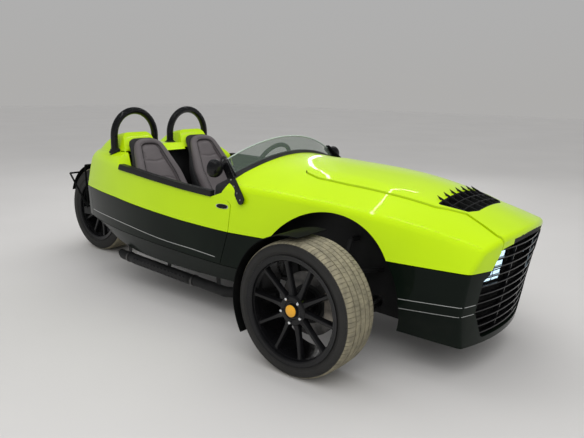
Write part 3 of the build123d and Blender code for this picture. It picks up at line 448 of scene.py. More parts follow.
@dataclass(frozen=True)
class Glow(Finish):
    """A lit lens with its lamp pattern behind; worn by the gauge needle and the buckle buttons, which are no
    lamps, it is a painted glow.
    """

    colour: Colour = (0.7, 0.85, 1.0)
    strength: float = 2.0
    pitch: float = 0.012

    def shade(self, g: Shader) -> bpy.types.Material:
        """Bright cells between dimmer ribs.

        Args:
            g: the material's empty graph.

        Returns:
            The finished material.
        """
        ribs = (abs(g.x.wrap(self.pitch) / self.pitch - 0.5) * 2.0).rise(0.55, 0.95)
        spots = g.cells(120.0).rise(0.0, 0.6)
        shade = (ribs * 0.5 + spots * 0.35).clamp()
        return g.surface(
            Base_Color=g.mix(tuple(0.9 * c for c in self.colour), tuple(0.4 * c for c in self.colour), shade),
            Roughness=0.12,
            Emission_Color=g.mix(self.colour, tuple(c * 0.35 for c in self.colour), shade),
            Emission_Strength=self.strength,
            Coat_Weight=1.0,
            Coat_Roughness=0.02,
        )


@dataclass(frozen=True)
class Rubber(Finish):
    """Tyre rubber with road dust on what touches the road."""

    colour: Colour = (0.022, 0.022, 0.022)
    dusty: Colour = (0.2, 0.185, 0.15)
    dust: float = 1.0
    depth: float = 0.0004

    def shade(self, g: Shader) -> bpy.types.Material:
        """Dark rubber under a broken film of pale dust.

        Args:
            g: the material's empty graph.

        Returns:
            The finished material.
        """
        film = (g.noise(26.0, 6.0).rise(0.25, 0.75) * 0.45 + 0.55) * self.dust
        specks = g.noise(420.0, 3.0).rise(0.35, 0.7)
        share = (film - specks * 0.12 * self.dust).clamp()
        return g.surface(
            Base_Color=g.mix(self.colour, self.dusty, share),
            Roughness=(0.62 + share * 0.3).clamp(),
            Specular_IOR_Level=0.35,
            Normal=g.bump(g.noise(600.0, 3.0), self.depth, 0.4),
        )


@dataclass(frozen=True)
class Trim(Finish):
    """Coated seat cloth with a fine leathery grain."""

    colour: Colour = (0.098, 0.086, 0.089)
    worn: Colour = (0.135, 0.120, 0.123)
    grain: float = 420.0

    def shade(self, g: Shader) -> bpy.types.Material:
        """Grain cells over a fine weave, paler where it is sat on.

        Args:
            g: the material's empty graph.

        Returns:
            The finished material.
        """
        cells = g.cells(self.grain, "DISTANCE_TO_EDGE")
        weave = g.noise(1500.0, 2.0)
        patch = g.noise(6.0, 3.0).rise(0.35, 0.7)
        tone = g.mix(self.colour, self.worn, (patch * 0.5 + cells * 0.6).clamp())
        return g.surface(
            Base_Color=tone,
            Roughness=(0.52 + patch * 0.1 + weave * 0.08).clamp(),
            Specular_IOR_Level=0.4,
            Normal=g.bump(cells * 0.7 + weave * 0.3, 0.0004, 0.5),
        )


@dataclass(frozen=True)
class Concrete(Finish):
    """The plain pale floor."""

    colour: Colour = (0.56, 0.55, 0.54)

    def shade(self, g: Shader) -> bpy.types.Material:
        """Almost even tone.

        Args:
            g: the material's empty graph.

        Returns:
            The finished material.
        """
        soft = g.noise(0.7, 3.0).rise(0.3, 0.7)
        return g.surface(
            Base_Color=g.mix(self.colour, tuple(c * 0.965 for c in self.colour), soft),
            Roughness=0.72,
            Specular_IOR_Level=0.2,
        )


LIME = Lacquer("lime_lacquer", (0.50, 0.745, 0.001), (0.475, 0.715, 0.001), dust=0.05, coat=0.7,
               coat_ior=1.38, shine=0.12)
NIGHT = Lacquer("night_lacquer", (0.005, 0.009, 0.006), (0.003, 0.006, 0.004), dust=0.03, base_rough=0.3,
                coat=0.3, coat_ior=1.3, shine=0.05)
# Pale grey paint: real silver for the gauge's ticks, and a painted highlight for the thin bands on the dark
# flanks, laid where the creases catch the light.
SILVER_AND_CREASE_HIGHLIGHT = Lacquer("silver_line", (0.42, 0.43, 0.42), (0.38, 0.39, 0.38), dust=0.0)
CAP = Lacquer("amber_cap", (0.83, 0.42, 0.02), (0.76, 0.36, 0.015), dust=0.05)
INNER = Moulded("inner_skin", (0.01, 0.01, 0.01), (0.016, 0.016, 0.016), rough=0.7)
SATIN = Moulded("satin_black", (0.009, 0.0095, 0.0095), (0.018, 0.018, 0.018), rough=0.42, shine=0.2)
GLOSS = Moulded("gloss_black", (0.004, 0.004, 0.0045), (0.008, 0.008, 0.009), rough=0.24, coat=0.35,
                depth=0.00004, shine=0.2)
WING = Moulded("wing_black", (0.004, 0.0045, 0.0045), (0.009, 0.009, 0.009), rough=0.62, shine=0.03)
COARSE = Moulded("grained_black", (0.016, 0.016, 0.017), (0.03, 0.03, 0.031), rough=0.6, grain=520.0,
                 depth=0.0004)
SCREEN = Moulded("dash_display", (0.004, 0.008, 0.011), (0.006, 0.012, 0.016), rough=0.08, coat=0.8,
                 depth=0.00002, shine=0.5)
# Pale green-grey paint on the screen's top edge: a painted highlight standing in for light caught along the
# glass edge.
SCREEN_EDGE_HIGHLIGHT = Moulded("polished_edge", (0.42, 0.50, 0.46), (0.5, 0.56, 0.52), rough=0.12, coat=0.6,
               depth=0.00002, shine=0.5)
DISC = Metal("worn_disc", (0.16, 0.155, 0.15), (0.08, 0.08, 0.08), rough=0.38)
CALIPER = Metal("caliper_alloy", (0.46, 0.42, 0.36), (0.3, 0.28, 0.25), rough=0.45, scale=300.0)
STEEL = Metal("bare_steel", (0.56, 0.57, 0.58), (0.33, 0.33, 0.33))
CAST = Metal("cast_alloy", (0.5, 0.5, 0.5), (0.3, 0.3, 0.3), rough=0.45, scale=300.0)
CHROME = Metal("bright_plating", (0.86, 0.87, 0.88), (0.7, 0.71, 0.72), rough=0.08)
MIRROR_GLASS = Metal("silvered_glass", (0.9, 0.91, 0.92), (0.86, 0.87, 0.88), rough=0.02, scale=2.0)
SMOKE = Clear("smoked_glass", (0.11, 0.17, 0.13))
LED = Glow("led_blocks", (0.62, 0.85, 1.0), 1.7)
# Red glow of the tail lamps; the buckle buttons wear it too and glow though they are no lamps, a painted
# glow.
RED_LENS_AND_PAINTED_BUTTON_GLOW = Glow("red_lens", (0.75, 0.02, 0.015), 0.35, pitch=0.01)
# The gauge needle glows amber though it is no lamp: a painted glow.
NEEDLE_PAINTED_GLOW = Glow("amber_needle", (0.9, 0.3, 0.02), 0.5, pitch=0.05)
TREAD = Rubber("tyre_tread", (0.05, 0.047, 0.038), (0.29, 0.262, 0.178))
WALL = Rubber("tyre_wall", (0.012, 0.012, 0.012), (0.04, 0.038, 0.034), dust=0.4)
TRIM = Trim("seat_trim")
THREAD = Trim("seat_thread", (0.3, 0.28, 0.28), (0.36, 0.34, 0.34), 900.0)
LEATHER = Trim("wheel_leather", (0.012, 0.012, 0.012), (0.024, 0.024, 0.024), 1400.0)
WEBBING = Trim("belt_webbing", (0.010, 0.010, 0.010), (0.02, 0.02, 0.02), 700.0)

FINISHES_OF_SLOT = {
    "lime_gloss": (LIME,), "black_gloss": (NIGHT,), "black_satin": (SATIN, WING, GLOSS),
    "lamp_glass": (LED,), "red_glass": (RED_LENS_AND_PAINTED_BUTTON_GLOW,), "smoked_glass": (SMOKE,), "seat_grey": (TRIM, THREAD),
    "tyre": (TREAD, WALL), "steel": (STEEL, CHROME, DISC, CALIPER), "engine_cast": (CAST,),
    "black_plastic": (COARSE, INNER, LEATHER, WEBBING),
}
SLOT_OF_FINISH = {finish.name: slot for slot, finishes in FINISHES_OF_SLOT.items() for finish in finishes}
SLOT_OF_NODE = {row["node"]: row["material_slot"] for row in frame["record"]["subparts"]}


# Meshes


def placed(name: str, data: bpy.types.ID) -> bpy.types.Object:
    """A new object in the scene.

    Args:
        name: its name.
        data: what it holds.

    Returns:
        The object.
    """
    obj = bpy.data.objects.new(name, data)
    bpy.context.scene.collection.objects.link(obj)
    return obj


def dress(mesh: bpy.types.Mesh, finish: Finish) -> None:
    """Make a finish the only one that a mesh wears.

    Args:
        mesh: the mesh.
        finish: what it wears.
    """
    mesh.materials.clear()
    mesh.materials.append(finish.material())
    mesh.polygons.foreach_set("material_index", [0] * len(mesh.polygons))


def carry(obj: bpy.types.Object, body: str, finish: Finish) -> bpy.types.Object:
    """Let a body carry a piece, in the slot of its finish if it has one.

    Args:
        obj: the piece.
        body: the body's name.
        finish: the piece's finish.

    Returns:
        The piece.
    """
    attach(obj, body)
    if finish.name in SLOT_OF_FINISH:
        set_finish(obj, SLOT_OF_FINISH[finish.name])
    return obj


def plain_mesh(obj: bpy.types.Object) -> bpy.types.Mesh:
    """The object's mesh with its modifiers worked in.

    Args:
        obj: the object.

    Returns:
        A new mesh.
    """
    graph = bpy.context.evaluated_depsgraph_get()
    return bpy.data.meshes.new_from_object(obj.evaluated_get(graph), preserve_all_data_layers=True,
                                           depsgraph=graph)


def subdivide(obj: bpy.types.Object) -> None:
    """Divide the object's faces once, towards a smooth surface.

    Args:
        obj: the object.
    """
    finer = obj.modifiers.new("finer", "SUBSURF")
    finer.levels = finer.render_levels = 1
    obj.data = plain_mesh(obj)
    obj.modifiers.remove(finer)


def tidy(mesh: bpy.types.Mesh, crease: float, weld: float = 1e-6) -> None:
    """Merge a mesh's doubles, turn its faces outwards and mark its hard edges.

    Args:
        mesh: the mesh.
        crease: edges sharper than this many degrees stay hard.
        weld: points nearer than this merge.
    """
    bm = bmesh.new()
    bm.from_mesh(mesh)
    bmesh.ops.remove_doubles(bm, verts=bm.verts, dist=weld)
    bmesh.ops.recalc_face_normals(bm, faces=bm.faces)
    mark_hard(bm, crease)
    bm.to_mesh(mesh)
    bm.free()


def mark_hard(bm: bmesh.types.BMesh, crease: float) -> None:
    """Shade smooth, with hard edges where faces meet at more than crease degrees.

    Args:
        bm: the mesh being worked.
        crease: the angle in degrees.
    """
    limit = math.radians(crease)
    for face in bm.faces:
        face.smooth = True
    for edge in bm.edges:
        edge.smooth = len(edge.link_faces) == 2 and edge.calc_face_angle(0.0) < limit


def smooth_copy(node: str, finish: Finish, crease: float = 28.0) -> bpy.types.Object:
    """A merged, smooth-shaded copy of a CAD node that stands for it.

    Args:
        node: the CAD node's name.
        finish: the copy's finish.
        crease: edges sharper than this many degrees stay hard.

    Returns:
        The copy, riding where the node rides.
    """
    source = frame["nodes"][node]
    mesh = source.data.copy()
    mesh.name = f"{node}_skin"
    dress(mesh, finish)
    bm = bmesh.new()
    bm.from_mesh(mesh)
    bmesh.ops.remove_doubles(bm, verts=bm.verts, dist=2e-5)
    mark_hard(bm, crease)
    bm.to_mesh(mesh)
    bm.free()
    obj = placed(f"{node}_skin", mesh)
    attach(obj, source["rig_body"])
    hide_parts(node)
    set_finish(obj, SLOT_OF_NODE[node])
    return obj


# Stage


@dataclass
class Studio:
    """Camera, floor, lamps and world."""

    eye: Point = (-2.8629, -2.6362, 1.3000)
    yaw: float = 51.72
    pitch: float = 12.26
    roll: float = 1.11
    focal_pixels: float = 605.2
    picture_width: float = 584.0
    sensor_width: float = 36.0
    floor_half: float = 30.0

    def camera(self) -> None:
        """Set the camera where the photograph was taken from."""
        yaw, pitch, roll = (math.radians(a) for a in (self.yaw, self.pitch, self.roll))
        ahead = Vector((math.sin(yaw) * math.cos(pitch), math.cos(yaw) * math.cos(pitch), -math.sin(pitch)))
        right = ahead.cross(Vector((0, 0, 1))).normalized()
        up = right.cross(ahead)
        across = math.cos(roll) * right + math.sin(roll) * up
        over = -math.sin(roll) * right + math.cos(roll) * up
        data = bpy.data.cameras.new("camera")
        data.sensor_width = self.sensor_width
        data.lens = self.focal_pixels / self.picture_width * self.sensor_width
        obj = placed("camera", data)
        turn = Matrix((across, over, -ahead)).transposed().to_4x4()
        obj.matrix_world = Matrix.Translation(self.eye) @ turn
        bpy.context.scene.camera = obj

    def floor(self) -> None:
        """Lay the plain floor."""
        half = self.floor_half
        mesh = bpy.data.meshes.new("floor")
        corners = [(-half, -half, 0), (half, -half, 0), (half, half, 0), (-half, half, 0)]
        mesh.from_pydata(corners, [], [(0, 1, 2, 3)])
        mesh.materials.append(Concrete("pale_floor").material())
        obj = placed("floor", mesh)
        obj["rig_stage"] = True

    def lamp(self, name: str, place: Point, towards: Point, size: tuple[float, float], power: float,
             mirrored_in_gloss: bool = False) -> None:
        """Hang a soft box.

        Args:
            name: the lamp's name.
            place: its middle.
            towards: what it faces.
            size: its width and height.
            power: its watts.
            mirrored_in_gloss: whether paint and metal show it.
        """
        data = bpy.data.lights.new(name, "AREA")
        data.shape = "RECTANGLE"
        data.size, data.size_y = size
        data.energy = power
        obj = placed(name, data)
        obj.location = place
        aim = Vector(towards) - Vector(place)
        obj.rotation_euler = aim.to_track_quat("-Z", "Y").to_euler()
        obj.visible_glossy = mirrored_in_gloss

    def world(self) -> None:
        """Even soft light, and for camera, gloss and glass a backdrop that darkens overhead."""
        made = bpy.data.worlds.new("studio")
        bpy.context.scene.world = made
        made.use_nodes = True
        g = Graph(made.node_tree)
        g.tree.nodes.clear()
        seen, through, gloss = (g.node("ShaderNodeLightPath", output=f"Is {ray} Ray")
                                for ray in ("Camera", "Transmission", "Glossy"))
        shown = (seen + through + gloss).clamp()
        up = g.node("ShaderNodeSeparateXYZ", {}, (g.node("ShaderNodeTexCoord", output="Generated"),), "Z")
        sky = g.node(
            "ShaderNodeValToRGB",
            {"stops": [(0.0, (0.424, 0.418, 0.410)), (0.16, (0.43, 0.43, 0.43)), (0.35, (0.20, 0.20, 0.21)),
                       (1.0, (0.11, 0.115, 0.12))]},
            (up,),
        )
        bright = g.node("ShaderNodeBackground", {}, {"Color": sky, "Strength": 1.0})
        soft = g.node("ShaderNodeBackground", {}, {"Color": (1.0, 1.0, 1.0, 1.0), "Strength": 0.78})
        both = g.node("ShaderNodeMixShader", {}, (shown, soft, bright))
        g.node("ShaderNodeOutputWorld", {}, {"Surface": both})

    def build(self) -> None:
        """Set up everything round the car."""
        bpy.context.scene.view_settings.view_transform = "Standard"
        self.camera()
        self.floor()
        self.world()
        self.lamp("key", (-3.5, -3.0, 4.6), (0, -0.2, 0.4), (6.0, 5.0), 140)
        self.lamp("top", (0.6, 0.4, 5.0), (0, 0, 0.3), (8.0, 4.0), 60)
        self.lamp("rim", (4.2, 2.6, 3.0), (0, 0.4, 0.5), (4.5, 4.0), 60)
        self.lamp("strip_near", (-0.55, -0.5, 3.0), (-0.55, -0.5, 0.0), (0.03, 3.6), 6, True)
        self.lamp("strip_over", (0.5, -0.4, 3.2), (0.0, -0.4, 0.4), (0.03, 3.8), 6, True)
        self.lamp("strip_far", (2.4, 1.4, 2.6), (0.0, 0.6, 0.4), (0.03, 3.0), 5, True)


# Geometry Nodes rules


class Rule(Graph):
    """A Geometry Nodes tree with named inputs that ends in real geometry with a finish."""

    def __init__(self, name: str, inputs: dict[str, str]) -> None:
        """Make the tree and its sockets.

        Args:
            name: the tree's name.
            inputs: socket types by name.
        """
        tree = bpy.data.node_groups.new(name, "GeometryNodeTree")
        face = tree.interface
        face.new_socket("Geometry", in_out="INPUT", socket_type="NodeSocketGeometry")
        for key, kind in {**inputs, "Finish": "NodeSocketMaterial"}.items():
            face.new_socket(key, in_out="INPUT", socket_type=kind)
        face.new_socket("Geometry", in_out="OUTPUT", socket_type="NodeSocketGeometry")
        super().__init__(tree)
        self.entry = tree.nodes.new("NodeGroupInput")

    def given(self, name: str) -> Wire:
        """The wire of a named input."""
        return Wire(self, self.entry.outputs[name])

    def close(self, geometry: Wire) -> None:
        """End the tree in real geometry that wears the finish.

        Args:
            geometry: what the tree has made.
        """
        real = self.node("GeometryNodeRealizeInstances", {}, (geometry,))
        worn = self.node("GeometryNodeSetMaterial", {}, {"Geometry": real, "Material": self.given("Finish")})
        end = self.tree.nodes.new("NodeGroupOutput")
        self.tree.links.new(worn.link, end.inputs[0])

    def grow(self, name: str, seed: bpy.types.Mesh, finish: Finish, body: str, crease: float = 32.0,
             **values: object) -> bpy.types.Object:
        """Run the tree on a mesh and keep the result as a plain piece.

        Args:
            name: the piece's name.
            seed: what the tree starts from.
            finish: the finish of all it makes.
            body: the body that carries the piece.
            crease: edges sharper than this many degrees stay hard.
            values: the named inputs.

        Returns:
            The new piece.
        """
        holder = placed(f"{name}_seed", seed)
        modifier = holder.modifiers.new("rule", "NODES")
        modifier.node_group = self.tree
        values["Finish"] = finish.material()
        for item in self.tree.interface.items_tree:
            if item.in_out == "INPUT" and item.name in values:
                modifier[item.identifier] = values[item.name]
        mesh = plain_mesh(holder)
        holder.modifiers.remove(modifier)
        bpy.data.objects.remove(holder)
        mesh.name = name
        dress(mesh, finish)
        obj = placed(name, mesh)
        tidy(mesh, crease, 1e-5)
        return carry(obj, body, finish)


class RoundAxle(Rule):
    """Copies one sector evenly round the X axis and moves the ring to its axle."""

    def __init__(self) -> None:
        """Build the tree."""
        super().__init__("round_axle", {"Count": "NodeSocketInt", "Start": "NodeSocketFloat",
                                        "Middle": "NodeSocketVector"})
        count = self.given("Count")
        spots = self.node("GeometryNodePoints", {}, {"Count": count})
        angle = self.node("GeometryNodeInputIndex") / count * math.tau + self.given("Start")
        turn = self.node("FunctionNodeAxisAngleToRotation", {}, {"Axis": (1.0, 0.0, 0.0), "Angle": angle})
        ring = self.node(
            "GeometryNodeInstanceOnPoints", {},
            {"Points": spots, "Instance": self.given("Geometry"), "Rotation": turn},
        )
        self.close(self.node("GeometryNodeTransform", {},
                             {"Geometry": ring, "Translation": self.given("Middle")}))


class OnSpots(Rule):
    """Sets a unit on every point of the seed, by the points' own facing, along and size."""

    def __init__(self) -> None:
        """Build the tree."""
        super().__init__("on_spots", {"Unit": "NodeSocketObject"})
        facing, along = (
            self.node("GeometryNodeInputNamedAttribute", {"data_type": "FLOAT_VECTOR"}, (key,))
            for key in ("facing", "along")
        )
        size = self.node("GeometryNodeInputNamedAttribute", {"data_type": "FLOAT"}, ("size",))
        turn = self.node("FunctionNodeAlignRotationToVector", {"axis": "Z"}, {"Vector": facing})
        turn = self.node(
            "FunctionNodeAlignRotationToVector", {"axis": "X", "pivot_axis": "Z"},
            {"Rotation": turn, "Vector": along}
        )
        unit = self.node("GeometryNodeObjectInfo", {}, {"Object": self.given("Unit")}, "Geometry")
        self.close(self.node(
            "GeometryNodeInstanceOnPoints", {},
            {"Points": self.given("Geometry"), "Instance": unit, "Rotation": turn, "Scale": size},
        ))


class Coil(Rule):
    """Winds a round wire into a spring between two heights on Z, then leans it onto its strut."""

    def __init__(self) -> None:
        """Build the tree."""
        super().__init__("coil_spring", {
            "Turns": "NodeSocketFloat", "Radius": "NodeSocketFloat", "Height": "NodeSocketFloat",
            "Wire": "NodeSocketFloat", "Foot": "NodeSocketVector", "Lean": "NodeSocketRotation",
        })
        spiral = self.node("GeometryNodeCurveSpiral", {}, {
            "Resolution": 28, "Rotations": self.given("Turns"), "Start Radius": self.given("Radius"),
            "End Radius": self.given("Radius"), "Height": self.given("Height"),
        })
        ring = self.node("GeometryNodeCurvePrimitiveCircle", {},
                         {"Resolution": 10, "Radius": self.given("Wire")})
        wire = self.node("GeometryNodeCurveToMesh", {}, {"Curve": spiral, "Profile Curve": ring,
                                                         "Fill Caps": True})
        self.close(self.node(
            "GeometryNodeTransform", {},
            {"Geometry": wire, "Translation": self.given("Foot"), "Rotation": self.given("Lean")},
        ))


@dataclass
class Rules:
    """The trees that the sub-assemblies share."""

    round_axle: RoundAxle = field(default_factory=RoundAxle)
    on_spots: OnSpots = field(default_factory=OnSpots)
    coil: Coil = field(default_factory=Coil)


RULES = Rules()


# Shaping


def unit_vector(v: Sequence[float]) -> np.ndarray:
    """A vector of length one."""
    v = np.asarray(v, float)
    return v / max(float(np.linalg.norm(v)), 1e-12)


def curve_through(points: Verts, steps: int = 8) -> np.ndarray:
    """A smooth path through points.

    Args:
        points: the points to pass.
        steps: path points for each gap.

    Returns:
        The path's points.
    """
    p = np.asarray(points, float)
    n = len(p)
    out = []
    for i in range(n - 1):
        a, b, c, d = p[max(i - 1, 0)], p[i], p[i + 1], p[min(i + 2, n - 1)]
        for t in np.arange(steps) / steps:
            out.append(0.5 * (2 * b + (c - a) * t + (2 * a - 5 * b + 4 * c - d) * t ** 2
                              + (3 * b - a - 3 * c + d) * t ** 3))
    return np.array([*out, p[-1]])


def there_and_back(rows: Sequence[tuple[float, ...]]) -> list[tuple[float, ...]]:
    """Rows that end on the middle line, then their mirror images in the first value, back to the start."""
    return [*rows, *((-row[0], *row[1:]) for row in reversed(rows[:-1]))]


def aimed(place: Sequence[float], towards: Sequence[float]) -> Matrix:
    """The move that carries +X at the origin to a direction at a place."""
    turn = Vector((1.0, 0.0, 0.0)).rotation_difference(Vector(towards)).to_matrix().to_4x4()
    return Matrix.Translation(Vector(place)) @ turn


class Clay:
    """Gathers the points and faces of one piece before it becomes a mesh."""

    def __init__(self) -> None:
        """Start empty."""
        self.verts: list[tuple[float, ...]] = []
        self.faces: list[tuple[int, ...]] = []

    def put(self, verts: Verts, faces: Faces) -> "Clay":
        """Add points and faces that count from their own first point.

        Args:
            verts: the points.
            faces: rows of the points' numbers.

        Returns:
            This clay.
        """
        start = len(self.verts)
        self.verts.extend(tuple(float(c) for c in v) for v in verts)
        self.faces.extend(tuple(start + i for i in f) for f in faces)
        return self

    def loft(self, rings: Sequence[Verts], caps: bool = True, loop: bool = True,
             around: bool = False) -> "Clay":
        """Join rings of equal length with faces.

        Args:
            rings: the cross sections in order.
            caps: whether the first and last ring are filled.
            loop: whether each ring closes on itself.
            around: whether the last ring joins the first.

        Returns:
            This clay.
        """
        count, size = len(rings), len(rings[0])
        faces = []
        for i in range(count if around else count - 1):
            for j in range(size if loop else size - 1):
                k, m = (i + 1) % count, (j + 1) % size
                faces.append((i * size + j, i * size + m, k * size + m, k * size + j))
        if caps and loop and not around:
            faces.append(tuple(reversed(range(size))))
            faces.append(tuple((count - 1) * size + j for j in range(size)))
        return self.put([v for ring in rings for v in ring], faces)

    def spin(self, profile: Sequence[tuple[float, float]], turns: int) -> "Clay":
        """Turn a profile of (x, radius) round the X axis; it closes on itself unless it ends on the axis.

        Args:
            profile: its (x, radius) pairs.
            turns: steps round.

        Returns:
            This clay.
        """
        angles = np.arange(turns) * math.tau / turns
        rings = [[(x, -r * math.sin(a), r * math.cos(a)) for x, r in profile] for a in angles]
        return self.loft(rings, caps=False, loop=profile[-1][1] > 0, around=True)

    def turned(self, profile: Sequence[tuple[float, float]], place: Sequence[float], towards: Sequence[float],
               turns: int = 48) -> "Clay":
        """Spin a profile of (along, radius) about an axis through a place."""
        part = Clay().spin(profile, turns).moved(aimed(place, towards))
        return self.put(part.verts, part.faces)

    def tube(self, path: Verts, radius: float | Sequence[float], sides: int = 12) -> "Clay":
        """Sweep a round section along a path; radius may change along it.

        Args:
            path: the middle line.
            radius: one radius, or one for each point.
            sides: corners of the section.

        Returns:
            This clay.
        """
        p = np.asarray(path, float)
        n = len(p)
        radii = [radius] * n if isinstance(radius, (int, float)) else list(radius)
        ahead = [unit_vector(p[min(i + 1, n - 1)] - p[max(i - 1, 0)]) for i in range(n)]
        side = unit_vector(np.cross(ahead[0], (0.13, 0.27, 0.95)))
        rings = []
        for i in range(n):
            side = unit_vector(side - ahead[i] * float(side @ ahead[i]))
            over = np.cross(ahead[i], side)
            angles = np.arange(sides) * math.tau / sides
            rings.append([p[i] + radii[i] * (math.cos(a) * side + math.sin(a) * over) for a in angles])
        return self.loft(rings)

    def block(self, low: Sequence[float], high: Sequence[float], edge: float = 0.0) -> "Clay":
        """A box between two corners with its edges taken off by edge.

        Args:
            low: one corner.
            high: the other.
            edge: width of the edges.

        Returns:
            This clay.
        """
        (x0, y0, z0), (x1, y1, z1) = np.minimum(low, high), np.maximum(low, high)
        if edge <= 0:
            return self.loft([[(x0, y0, z), (x1, y0, z), (x1, y1, z), (x0, y1, z)] for z in (z0, z1)])
        rings = []
        for z, inset in ((z0, edge), (z0 + edge, 0.0), (z1 - edge, 0.0), (z1, edge)):
            a0, b0, a1, b1 = x0 + inset, y0 + inset, x1 - inset, y1 - inset
            rings.append([
                (a0 + edge, b0, z), (a1 - edge, b0, z), (a1, b0 + edge, z), (a1, b1 - edge, z),
                (a1 - edge, b1, z), (a0 + edge, b1, z), (a0, b1 - edge, z), (a0, b0 + edge, z),
            ])
        return self.loft(rings)

    def moved(self, matrix: Matrix) -> "Clay":
        """Move everything gathered so far."""
        self.verts = [tuple(matrix @ Vector(v)) for v in self.verts]
        return self

    def mesh(self, name: str) -> bpy.types.Mesh:
        """A bare mesh of what was gathered.

        Args:
            name: the mesh's name.

        Returns:
            The mesh.
        """
        made = bpy.data.meshes.new(name)
        made.from_pydata(self.verts, [], self.faces)
        return made

    def piece(self, name: str, finish: Finish, body: str = "body", crease: float = 32.0) -> bpy.types.Object:
        """Make the smooth-shaded piece.

        Args:
            name: the piece's name.
            finish: its finish.
            body: the body that carries it.
            crease: edges sharper than this many degrees stay hard.

        Returns:
            The new object.
        """
        mesh = self.mesh(name)
        mesh.materials.append(finish.material())
        tidy(mesh, crease)
        return carry(placed(name, mesh), body, finish)


# Wheels


@dataclass(frozen=True)
class Sipes:
    """How one rib of a tread is cut across."""

    slant: float
    width: float
    depth: float
    phase: float


